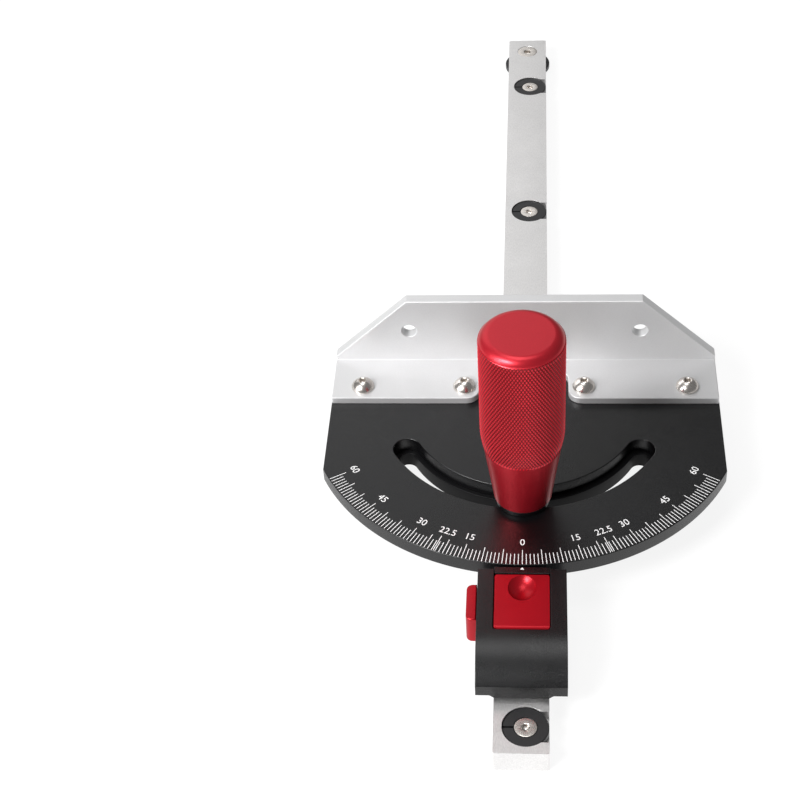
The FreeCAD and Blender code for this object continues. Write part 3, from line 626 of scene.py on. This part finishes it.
def add_bar(materials):
    """The guide bar, with its pockets, holes and slot-disc recess."""
    low, high = corners("miter_bar")
    outline = rounded([(low.x, low.y, BAR_CORNER), (high.x, low.y, BAR_CORNER),
                       (high.x, high.y, BAR_CORNER), (low.x, high.y, BAR_CORNER)])
    cutters = []
    for name in RING_NAMES:
        ring_low, ring_high = corners("expansion_ring_" + name)
        y = (ring_low.y + ring_high.y) / 2
        radius = (ring_high.y - ring_low.y) / 2
        x = ring_high.x - radius
        pocket = pocket_outline(x, y, radius + POCKET_PLAY, high.x)
        cutters.append(prism(pocket, high.z - POCKET_DEPTH, high.z + PAST))
        cutters.append(prism(circle(x, y, M4, HOLE_STEPS), BAR_HOLE_FLOOR, high.z))
    cutters += slot_screw_cutters(high.z)
    for node, radius in BAR_BORES.items():
        centre = middle(node)
        hole = circle(centre.x, centre.y, radius, HOLE_STEPS)
        cutters.append(prism(hole, corners(node)[0].z, high.z + PAST))
    for node in BLOCK_SCREWS:
        cutters.append(sunk_hole(node, BLOCK_SEAT, low.z, high.z))
    solid = carve(prism(outline, low.z, high.z), *cutters)
    piece("miter_bar_ground", solid, "bar", materials["bar_metal"], ["miter_bar"],
          soften=0.3)


def add_rings(materials):
    """The split expansion rings, each with a seat for its screw."""
    lower_break = 0.2
    upper_break = 0.3
    seat_hole = 2.3
    seat_top = 4.15
    seat_depth = 2.1
    for name in RING_NAMES:
        node = "expansion_ring_" + name
        low, high = corners(node)
        radius = (high.y - low.y) / 2
        x = high.x - radius
        y = (low.y + high.y) / 2
        ring = turned(x, y, [
            (radius - lower_break, low.z),
            (radius, low.z + lower_break),
            (radius, high.z - upper_break),
            (radius - upper_break, high.z),
        ], FINE_STEPS)
        seat = turned(x, y, [
            (seat_hole, low.z - PAST),
            (seat_hole, high.z - seat_depth),
            (seat_top, high.z - 0.25),
            (seat_top + 0.05, high.z + 0.5),
        ], 64)
        slit = block((x - radius - PAST, y - RING_SLIT / 2, low.z - PAST),
                     (x - M4, y + RING_SLIT / 2, high.z + PAST))
        piece(node + "_moulded", carve(ring, seat, slit), "bar", materials["black_nylon"],
              [node], soften=0.12)


def add_disc(materials):
    """The disc that runs in a T-shaped slot."""
    disc = washer_solid("t_slot_disc", 0.35, M5, FINE_STEPS)
    piece("t_slot_disc_turned", disc, "bar", materials["dark_steel"],
          ["t_slot_disc"], soften=0.15)


# ---------------------------------------------------------------- head

SLOT_RADIUS = 51.6
SLOT_HALF_ANGLE = 60.0
SLOT_HALF_WIDTH = 5.4
BASE_SLOT_HALF_WIDTH = 3.5
PIVOT_HOLE = 7.0
PLATE_EDGE = 0.35
BASE_EDGE = 0.3
BASE_SEAT = 4.1
FLANGE_THICK = 3.0
UPRIGHT_THICK = 4.6
DETENTS = (-60, -45, -30, -22.5, -15, 0, 15, 22.5, 30, 45, 60)
DETENT_RADIUS = 2.2
DETENT_DEPTH = 2.6


def head_outline(node, radius):
    """A disc cut square at the sides and behind the pivot."""
    low, high = corners(node)
    cut_angle = math.degrees(math.asin(high.x / radius))
    rear_corner = 1.5
    steps = 120
    outline = []
    for step in range(steps + 1):
        outline.append(at_angle(radius, cut_angle * (2 * step / steps - 1)))
    outline += rounded([(high.x, -1, 0), (high.x, high.y, rear_corner),
                        (low.x, high.y, rear_corner), (low.x, -1, 0)])
    return outline


def add_scale_plate(materials):
    """The scale plate, with its curved slot, screw holes and index holes from below."""
    low, high = corners("scale_plate")
    holes = [arc_slot(SLOT_RADIUS, SLOT_HALF_WIDTH, SLOT_HALF_ANGLE), circle(0, 0, PIVOT_HOLE)]
    for name in BRACKET_SCREWS:
        centre = middle("bracket_screw_" + name)
        holes.append(circle(centre.x, centre.y, M5, HOLE_STEPS))
    solid = plate(low.z, high.z, PLATE_EDGE, head_outline("scale_plate", -low.y), *holes)
    cutters = []
    for angle in DETENTS:
        spot = at_angle(middle("index_pin").xy.length, angle)
        detent = circle(spot.x, spot.y, DETENT_RADIUS, HOLE_STEPS)
        cutters.append(prism(detent, low.z - PAST, low.z + DETENT_DEPTH))
    piece("scale_plate_milled", carve(solid, *cutters), "head", materials["black_anodised"],
          ["scale_plate"])


def add_head_base(materials):
    """The base plate, with the narrower curved slot and countersinks from below."""
    low, high = corners("head_base")
    holes = [arc_slot(SLOT_RADIUS, BASE_SLOT_HALF_WIDTH, SLOT_HALF_ANGLE),
             circle(0, 0, PIVOT_HOLE)]
    solid = plate(low.z, high.z, BASE_EDGE, head_outline("head_base", -low.y), *holes)
    cutters = []
    for name in BASE_SCREWS:
        cutters.append(sunk_hole("base_screw_" + name, BASE_SEAT, low.z, high.z))
    piece("head_base_milled", carve(solid, *cutters), "head", materials["base_black"],
          ["head_base"])


BRACKET_SHOULDER = 26.8
BRACKET_TOP_HALF = 46.5
FENCE_HOLE_X = 45.8
FENCE_HOLE_Z = 40.2
FENCE_HOLE_RADIUS = 3.0
NOTCH_HALF = 17.6
NOTCH_DEPTH = 16.0
NOTCH_CORNER = 5.0
SCREW_HOLE = 2.7


def bracket_corner(side, half, top):
    """What is cut off the upright's corner, as a triangle (x, z) well past its edges."""
    out = half - BRACKET_TOP_HALF
    up = top - BRACKET_SHOULDER
    beyond = 0.2 * half
    above = 30
    return [
        (side * (half + beyond), BRACKET_SHOULDER - beyond * up / out),
        (side * (half + beyond), top + above),
        (side * (BRACKET_TOP_HALF - above * out / up), top + above),
    ]


def notch_outline(half, mouth, depth, corner):
    """A notch with rounded inner corners and a mouth that flares out on round corners."""
    outline = [Vector((half + corner, mouth - PAST))]
    steps = 8
    for side in (1, -1):
        flare = []
        inner = []
        for step in range(steps + 1):
            turn = math.pi / 2 * step / steps
            flare.append(Vector((side * (half + corner * (1 - math.sin(turn))),
                                 mouth + corner * (1 - math.cos(turn)))))
            inner.append(Vector((side * (half - corner * (1 - math.cos(turn))),
                                 mouth + depth - corner * (1 - math.sin(turn)))))
        outline += flare + inner if side == 1 else (flare + inner)[::-1]
    outline.append(Vector((-half - corner, mouth - PAST)))
    return outline


def add_bracket(materials):
    """The fence bracket: an angle with bevelled corners, a middle notch, and holes."""
    low, high = corners("fence_bracket")
    flange_top = low.z + FLANGE_THICK
    front = high.y - UPRIGHT_THICK
    section = [(low.y, low.z), (high.y, low.z), (high.y, high.z), (front, high.z),
               (front, flange_top), (low.y, flange_top)]
    reach = (front - 5, high.y + 5, "Y")
    cutters = []
    for side in (-1, 1):
        hole = circle(side * FENCE_HOLE_X, FENCE_HOLE_Z, FENCE_HOLE_RADIUS, SUNK_STEPS)
        cutters.append(prism(bracket_corner(side, high.x, high.z), *reach))
        cutters.append(prism(hole, *reach))
    notch = notch_outline(NOTCH_HALF, low.y, NOTCH_DEPTH, NOTCH_CORNER)
    cutters.append(prism(notch, low.z - PAST, flange_top + PAST))
    for name in BRACKET_SCREWS:
        centre = middle("bracket_screw_" + name)
        hole = circle(centre.x, centre.y, SCREW_HOLE, HOLE_STEPS)
        cutters.append(prism(hole, low.z - PAST, flange_top + PAST))
    solid = carve(prism(section, low.x, high.x, "X"), *cutters)
    piece("fence_bracket_milled", solid, "head", materials["silver_aluminium"],
          ["fence_bracket"], soften=0.35)


# ---------------------------------------------------------------- pivot and clamp

BOLT_THREAD = 4.0
BOLT_SHOULDER = 5.0
BOLT_SOCKET = 2.9
BOLT_SOCKET_FLOOR = 1.2
BOLT_DRILL = (1.0, 0.6)
BOLT_EDGE = 0.5
BOLT_BREAK = 0.2


def add_pivot(materials):
    """The pivot washer and shoulder bolt."""
    steel = materials["screw_steel"]
    washer = washer_solid("pivot_washer", 0.2, BOLT_SHOULDER)
    piece("pivot_washer_turned", washer, "bar", steel, ["pivot_washer"])
    seat = corners("pivot_washer")[1].z
    bar_top = corners("miter_bar")[1].z
    low, high = corners("pivot_bolt")
    profile = [
        (BOLT_THREAD, low.z),
        (BOLT_THREAD, bar_top),
        (BOLT_SHOULDER, bar_top),
        (BOLT_SHOULDER, seat),
        (high.x - BOLT_BREAK, seat),
    ]
    profile += corner_round(high.x - BOLT_EDGE, high.z - BOLT_EDGE, BOLT_EDGE, 0)
    profile += [
        (BOLT_SOCKET * HEX_CORNER + BOLT_BREAK, high.z),
        (BOLT_SOCKET, high.z - BOLT_BREAK, "hex"),
        (BOLT_SOCKET, seat + BOLT_SOCKET_FLOOR, "hex"),
        (BOLT_DRILL[0], seat + BOLT_DRILL[1]),
    ]
    piece("pivot_bolt_turned", turned(0, 0, profile), "bar", steel,
          ["pivot_bolt"])


def add_clamp(materials):
    """The dark washer under the handle."""
    piece("clamp_washer_turned", washer_solid("clamp_washer", 0.4, 3.05), "clamp",
          materials["dark_steel"], ["clamp_washer"])


# ---------------------------------------------------------------- handle

KNURL_STARTS = 78
KNURL_SLOPE = 30.0
KNURL_DEPTH = 0.5
KNURL_LOW = 51.0
KNURL_HIGH = 99.7
GRIP_BASE = 10.8
GRIP_WAIST = 14.2
# the height over which the grip swells from its waist to its full radius
GRIP_SWELL = 8
GRIP_FOOT_ROUND = 1.2
GRIP_TOP_ROUND = 4.0
GRIP_FOOT_CENTRE = 6.0
GRIP_TOP_CENTRE = 3.0


def grip_radius(z, full):
    """The grip's outer radius at a height of its knurled part."""
    along = min(max((z - KNURL_LOW) / GRIP_SWELL, 0), 1)
    return GRIP_WAIST + (full - GRIP_WAIST) * math.sin(along * math.pi / 2)


def grip_levels(low, high, full):
    """The grip's rings from foot to top, each a radius, a height and a share of the knurl."""
    half_pitch = math.pi * full / KNURL_STARTS / math.tan(math.radians(KNURL_SLOPE))
    rows = round((KNURL_HIGH - KNURL_LOW) / half_pitch)
    rows += rows % 2
    foot = corner_round(GRIP_BASE - GRIP_FOOT_ROUND, low + GRIP_FOOT_ROUND, GRIP_FOOT_ROUND, -90)
    levels = [(GRIP_FOOT_CENTRE, low, 0)]
    levels += [(radius, z, 0) for radius, z in foot]
    levels.append((GRIP_WAIST - 0.1, KNURL_LOW - 0.6, 0))
    for row in range(rows + 1):
        z = KNURL_LOW + (KNURL_HIGH - KNURL_LOW) * row / rows
        knurl = 0.5 if row in (0, rows) else 1
        levels.append((grip_radius(z, full), z, knurl))
    levels.append((full - 0.3, KNURL_HIGH + 0.2, 0))
    levels.append((full - 0.15, KNURL_HIGH + 0.4, 0))
    top = corner_round(full - 0.1 - GRIP_TOP_ROUND, high - GRIP_TOP_ROUND, GRIP_TOP_ROUND, 0, 16)
    levels += [(radius, z, 0) for radius, z in top if z > KNURL_HIGH + 0.5]
    levels.append((GRIP_TOP_CENTRE, high, 0))
    return levels


def knurled(x, y, levels):
    """A knurled solid through the levels, and each point's height from hollow 0 to tip 1."""
    columns = 2 * KNURL_STARTS
    solid = bmesh.new()
    grid = []
    heights = []
    knurl_row = 0
    for radius, z, knurl in levels:
        ring = []
        for column in range(columns):
            turn = 2 * math.pi * column / columns
            reach = radius
            if knurl and (column + knurl_row) % 2:
                reach = radius - KNURL_DEPTH * knurl
                heights.append(0)
            else:
                heights.append(1 if knurl else 0.5)
            ring.append(solid.verts.new((x + reach * math.cos(turn),
                                         y + reach * math.sin(turn), z)))
        grid.append((ring, knurl, knurl_row))
        knurl_row += 1 if knurl else 0
    for (lower, low_knurl, row), (upper, high_knurl, _) in zip(grid, grid[1:]):
        for column in range(columns):
            following = (column + 1) % columns
            a, b = lower[column], lower[following]
            c, d = upper[following], upper[column]
            if not (low_knurl and high_knurl):
                solid.faces.new((a, b, c, d))
            elif (column + row) % 2:
                solid.faces.new((a, b, c))
                solid.faces.new((a, c, d))
            else:
                solid.faces.new((a, b, d))
                solid.faces.new((b, c, d))
    solid.faces.new(grid[0][0][::-1])
    solid.faces.new(grid[-1][0])
    return solid, heights


def add_handle(materials):
    """The turned grip, with a real diamond knurl between its smooth foot and rounded top."""
    low, high = corners("handle_grip")
    centre = middle("handle_grip")
    levels = grip_levels(low.z, high.z, (high.x - low.x) / 2)
    solid, heights = knurled(centre.x, centre.y, levels)
    grip = piece("handle_grip_knurled", solid, "handle", materials["grip_red"],
                 ["handle_grip"], sharp=28)
    # the height drives the grip's painted shade in the knurl's hollows and painted highlight on its
    # tips
    height = grip.data.attributes.new("height", "FLOAT", "POINT")
    height.data.foreach_set("value", heights)


# ---------------------------------------------------------------- pointer block and stop

BROW_HEIGHT = 15.7
BROW_END = -116.0
BROW_RADIUS = 26.6
CHANNEL_NEAR = -115.1
CHANNEL_HALF = 10
CHANNEL_FLOOR = 10.6
CHANNEL_CORNER = 1.0
WING_TOP = 10.8
WING_INNER = 11.0
WINDOW_FLOOR = 13.3
WINDOW_TOP = 17.75
WINDOW_PLAY = 0.15
PIN_HOLE = 1.5


def brow_curve(low, high):
    """The block's near top edge as an arc (y, z), from its front face up to its flat top."""
    start = Vector((low.y, BROW_HEIGHT))
    end = Vector((BROW_END, high.z))
    chord = end - start
    across = Vector((chord.y, -chord.x)).normalized()
    centre = start + chord / 2 + across * math.sqrt(BROW_RADIUS ** 2 - chord.length_squared / 4)
    first = math.atan2(start.y - centre.y, start.x - centre.x) % (2 * math.pi)
    last = math.atan2(end.y - centre.y, end.x - centre.x) % (2 * math.pi)
    curve = []
    steps = 24
    for step in range(steps + 1):
        turn = first + (last - first) * step / steps
        curve.append((centre.x + BROW_RADIUS * math.cos(turn),
                      centre.y + BROW_RADIUS * math.sin(turn)))
    return curve


def add_block(materials):
    """The pointer block, open above for the lever and at the left for the lock slide."""
    low, high = corners("pointer_block")
    section = [(high.y, low.z), (low.y, low.z)] + brow_curve(low, high) + [(high.y, high.z)]
    bar_half = corners("miter_bar")[1].x
    slide_low, slide_high = corners("lock_slide")
    pin = middle("lever_pin")
    pin_end = corners("lever_pin")[0].x
    channel = rounded([
        (-CHANNEL_HALF, CHANNEL_NEAR, CHANNEL_CORNER),
        (CHANNEL_HALF, CHANNEL_NEAR, CHANNEL_CORNER),
        (CHANNEL_HALF, high.y + PAST, 0),
        (-CHANNEL_HALF, high.y + PAST, 0),
    ])
    wing = [(bar_half, low.z - PAST), (high.x + PAST, low.z - PAST), (high.x + PAST, WING_TOP),
            (WING_INNER, WING_TOP), (bar_half, low.z)]
    cutters = [
        prism(channel, CHANNEL_FLOOR, high.z + PAST),
        prism(wing, low.y - PAST, high.y + PAST, "Y"),
        prism([(-x, z) for x, z in wing], low.y - PAST, high.y + PAST, "Y"),
        block((low.x - PAST, slide_low.y - WINDOW_PLAY, WINDOW_FLOOR),
              (PAST - CHANNEL_HALF, slide_high.y + WINDOW_PLAY, WINDOW_TOP)),
        prism(circle(pin.y, pin.z, PIN_HOLE, HOLE_STEPS), pin_end, high.x + PAST, "X"),
    ]
    piece("pointer_block_milled", carve(prism(section, low.x, high.x, "X"), *cutters), "bar",
          materials["black_anodised"], ["pointer_block"], soften=0.35)


def add_pointer(materials):
    """The pointer insert, which stands on two legs, and its white mark."""
    low, high = corners("pointer_plate")
    corner = 0.3
    arch_half = 6
    arch_top = 17
    outline = rounded([(low.x, low.y, corner), (high.x, low.y, corner),
                       (high.x, high.y, corner), (low.x, high.y, corner)])
    arch = block((-arch_half, low.y - PAST, low.z - PAST), (arch_half, high.y + PAST, arch_top))
    piece("pointer_plate_milled", carve(plate(low.z, high.z, 0.2, outline), arch), "bar",
          materials["black_anodised"], ["pointer_plate"])
    half = 0.7
    base = high.y - 1.2
    tip = high.y - 0.15
    mark = prism([(-half, base), (half, base), (0, tip)], high.z - 0.05, high.z + 0.03)
    piece("pointer_mark", mark, "bar", materials["scale_white"])


LEVER_CREASE = -102.5
LEVER_RISE = 0.35
LEVER_CORNER = 0.9
LEVER_NOSE = 1.1
DISH_HALF_SIZES = (6.4, 7.3, 6.5)
DISH_CENTRE_Y = -96.4
DISH_LIFT = 4.2


def above_lever(low, high, flat_top):
    """What is cut off the top of the lever: past a round nose, level to the crease, then up."""
    wide = 5
    steps = 8
    profile = [(low.y - wide, flat_top - LEVER_NOSE)]
    for step in range(steps + 1):
        turn = math.pi / 2 * step / steps
        profile.append((low.y + LEVER_NOSE * (1 - math.cos(turn)),
                        flat_top - LEVER_NOSE * (1 - math.sin(turn))))
    profile += [
        (LEVER_CREASE, flat_top),
        (high.y, high.z),
        (high.y + wide, high.z),
        (high.y + wide, high.z + wide),
        (low.y - wide, high.z + wide),
    ]
    return prism(profile, low.x - wide, high.x + wide, "X")


def add_lever(materials):
    """The thumb lever: creased across, dished for a thumb, with softened edges."""
    low, high = corners("stop_lever")
    flat_top = high.z - LEVER_RISE
    outline = rounded([(low.x, low.y, LEVER_CORNER), (high.x, low.y, LEVER_CORNER),
                       (high.x, high.y, LEVER_CORNER), (low.x, high.y, LEVER_CORNER)])
    dish = bmesh.new()
    bmesh.ops.create_uvsphere(dish, u_segments=96, v_segments=64, radius=1,
                              matrix=Matrix.Translation((0, DISH_CENTRE_Y, flat_top + DISH_LIFT))
                              @ Matrix.Diagonal((*DISH_HALF_SIZES, 1)))
    solid = carve(prism(outline, low.z, high.z + PAST), above_lever(low, high, flat_top), dish)
    piece("stop_lever_milled", solid, "lever", materials["lever_red"],
          ["stop_lever"], soften=0.5)


def add_button(materials):
    """The red button at the side."""
    low, high = corners("lock_button")
    corner = 2.2
    edge = 0.5
    outline = rounded([(low.x, low.y, corner), (high.x, low.y, 0), (high.x, high.y, 0),
                       (low.x, high.y, corner)])
    piece("lock_button_milled", plate(low.z, high.z, edge, outline), "lock",
          materials["lever_red"], ["lock_button"])


def add_spring(materials):
    """The lever's return spring, as a real coil."""
    low, high = corners("lever_spring")
    centre = middle("lever_spring")
    wire = 0.3
    wire_sides = 8
    radius = (high.x - low.x) / 2 - wire
    turns = 7
    steps = 24 * turns
    rings = []
    for step in range(steps + 1):
        turn = 2 * math.pi * turns * step / steps
        z = low.z + wire + (high.z - low.z - 2 * wire) * step / steps
        outward = Vector((math.cos(turn), math.sin(turn), 0))
        spot = Vector((centre.x, centre.y, z)) + outward * radius
        ring = []
        for side in range(wire_sides):
            roll = 2 * math.pi * side / wire_sides
            ring.append(spot + outward * wire * math.cos(roll)
                        + Vector((0, 0, wire * math.sin(roll))))
        rings.append(ring)
    piece("lever_spring_coil", tube(rings), "bar", materials["screw_steel"],
          ["lever_spring"], sharp=80)


# ---------------------------------------------------------------- scale

TICK_WIDTH = 0.27
TICK_DEPTH = 0.05
TICK_PROUD = 0.02
TICK_INNER = 79.6
LONG_TICK_INNER = 77.7
HALF_TICK_INNER = 77.0
DIGIT_HEIGHT = 2.85
DIGIT_RADIUS = 73.9
DIGIT_SQUEEZE = 0.95


def tick(angle, inner, outer, width, level):
    """One engraved and filled line of the scale, as a thin slab."""
    along = at_angle(1, angle)
    across = Vector((-along.y, along.x)) * (width / 2)
    outline = [along * inner - across, along * outer - across, along * outer + across,
               along * inner + across]
    return prism(outline, level - TICK_DEPTH, level + TICK_PROUD)


def digits(text, angle, level):
    """A number of the scale, upright towards the pivot, as a flat mesh."""
    curve = bpy.data.curves.new("digits", "FONT")
    curve.body = text
    curve.align_x = "CENTER"
    curve.extrude = 0.01
    curve.resolution_u = 6
    item = bpy.data.objects.new("digits", curve)
    bpy.context.scene.collection.objects.link(item)
    bpy.context.view_layer.update()
    mesh = bpy.data.meshes.new_from_object(
        item.evaluated_get(bpy.context.evaluated_depsgraph_get()))
    solid = bmesh.new()
    solid.from_mesh(mesh)
    bpy.data.objects.remove(item)
    bpy.data.curves.remove(curve)
    bpy.data.meshes.remove(mesh)
    height = max(vertex.co.y for vertex in solid.verts)
    scale = DIGIT_HEIGHT / height
    spot = at_angle(DIGIT_RADIUS, angle)
    solid.transform(Matrix.Translation((spot.x, spot.y, level))
                    @ Matrix.Rotation(math.radians(angle), 4, "Z")
                    @ Matrix.Translation((0, -DIGIT_HEIGHT / 2, 0))
                    @ Matrix.Diagonal((scale * DIGIT_SQUEEZE, scale, 1.5, 1)))
    return solid


def add_scale(materials):
    """The protractor's ticks and numbers."""
    low, high = corners("scale_plate")
    rim = -low.y - PLATE_EDGE
    marks = []
    for angle in range(-60, 61):
        inner = LONG_TICK_INNER if angle % 5 == 0 else TICK_INNER
        marks.append(tick(angle, inner, rim, TICK_WIDTH, high.z))
    for side in (-1, 1):
        marks.append(tick(side * 22.5, HALF_TICK_INNER, rim, TICK_WIDTH, high.z))
        for value in ("15", "22.5", "30", "45", "60"):
            shift = 0.9 if value == "22.5" else 0
            marks.append(digits(value, side * float(value) + shift, high.z))
    marks.append(digits("0", 0, high.z))
    piece("scale_marks", join(*marks), "head", materials["scale_white"])


# ---------------------------------------------------------------- stage

def add_floor():
    """A plain pale floor, which glows a little so that it stays even and pale."""
    material = surface("floor_pale", (0.15, 0.15, 0.15), roughness=0.9, grain=20, bump=0.0,
                       mottle=0.004, uneven=0.02)
    shader = material.node_tree.nodes["Principled BSDF"]
    shader.inputs["Emission Color"].default_value = (1, 1, 1, 1)
    shader.inputs["Emission Strength"].default_value = 0.88
    half = 3.0
    behind = 0.4
    gap = 0.0002
    solid = bmesh.new()
    bmesh.ops.create_grid(solid, x_segments=2, y_segments=2, size=half)
    mesh = bpy.data.meshes.new("floor")
    solid.to_mesh(mesh)
    solid.free()
    mesh.materials.append(material)
    floor = bpy.data.objects.new("floor", mesh)
    floor.location = (0, behind, -gap)
    bpy.context.scene.collection.objects.link(floor)


def add_light(name, place, target, size, radiance):
    """A soft square light of even brightness."""
    lamp = bpy.data.lights.new(name, "AREA")
    lamp.shape = "SQUARE"
    lamp.size = size
    lamp.energy = radiance * math.pi * size ** 2
    item = bpy.data.objects.new(name, lamp)
    item.location = place
    aim = Vector(target) - Vector(place)
    item.rotation_euler = aim.to_track_quat("-Z", "Y").to_euler()
    bpy.context.scene.collection.objects.link(item)


def add_stage():
    """Floor, soft lights and dim surroundings."""
    add_floor()
    world = bpy.data.worlds.new("studio")
    world.use_nodes = True
    background = world.node_tree.nodes["Background"]
    background.inputs["Color"].default_value = (1, 1, 1, 1)
    background.inputs["Strength"].default_value = 0.2
    bpy.context.scene.world = world
    target = (0, -0.02, 0.02)
    add_light("left", (-0.92, -0.6, 0.5), target, size=0.45, radiance=8.5)
    add_light("back", (-0.5, 1.1, 0.8), target, size=1.2, radiance=0.9)
    add_light("above", (-0.1, 0.09, 1.15), target, size=0.5, radiance=3.4)
    add_light("key", (-0.68, -0.71, 0.93), target, size=0.45, radiance=29.0)
    bpy.context.scene.view_settings.view_transform = "Standard"


def add_camera():
    """The viewpoint: in front, 43 degrees above, turned a little to the left."""
    azimuth = 6.398
    elevation = 42.818
    lean = -4.312
    place = (0.005476, -0.485686, 0.476466)
    lens = bpy.data.cameras.new("camera")
    lens.lens = 75.575
    lens.sensor_width = 36
    lens.clip_start = 0.01
    camera = bpy.data.objects.new("camera", lens)
    turn = Matrix.Rotation(math.radians(azimuth), 4, "Z")
    tilt = Matrix.Rotation(math.radians(90 - elevation), 4, "X")
    roll = Matrix.Rotation(math.radians(lean), 4, "Z")
    camera.matrix_world = Matrix.Translation(place) @ turn @ tilt @ roll
    bpy.context.scene.collection.objects.link(camera)
    bpy.context.scene.camera = camera


def dress_nodes(materials):
    """Give every CAD node that stays the material of its record slot."""
    slots = {part["node"]: part["material_slot"] for part in frame["record"]["subparts"]}
    for name, item in frame["nodes"].items():
        item.data.materials.clear()
        item.data.materials.append(materials[slots[name]])


materials = make_materials()
dress_nodes(materials)
for add in (add_bar, add_rings, add_disc, add_screws, add_scale_plate, add_head_base, add_bracket,
            add_pivot, add_clamp, add_handle, add_block, add_pointer, add_lever, add_button,
            add_spring, add_scale):
    add(materials)
add_stage()
add_camera()
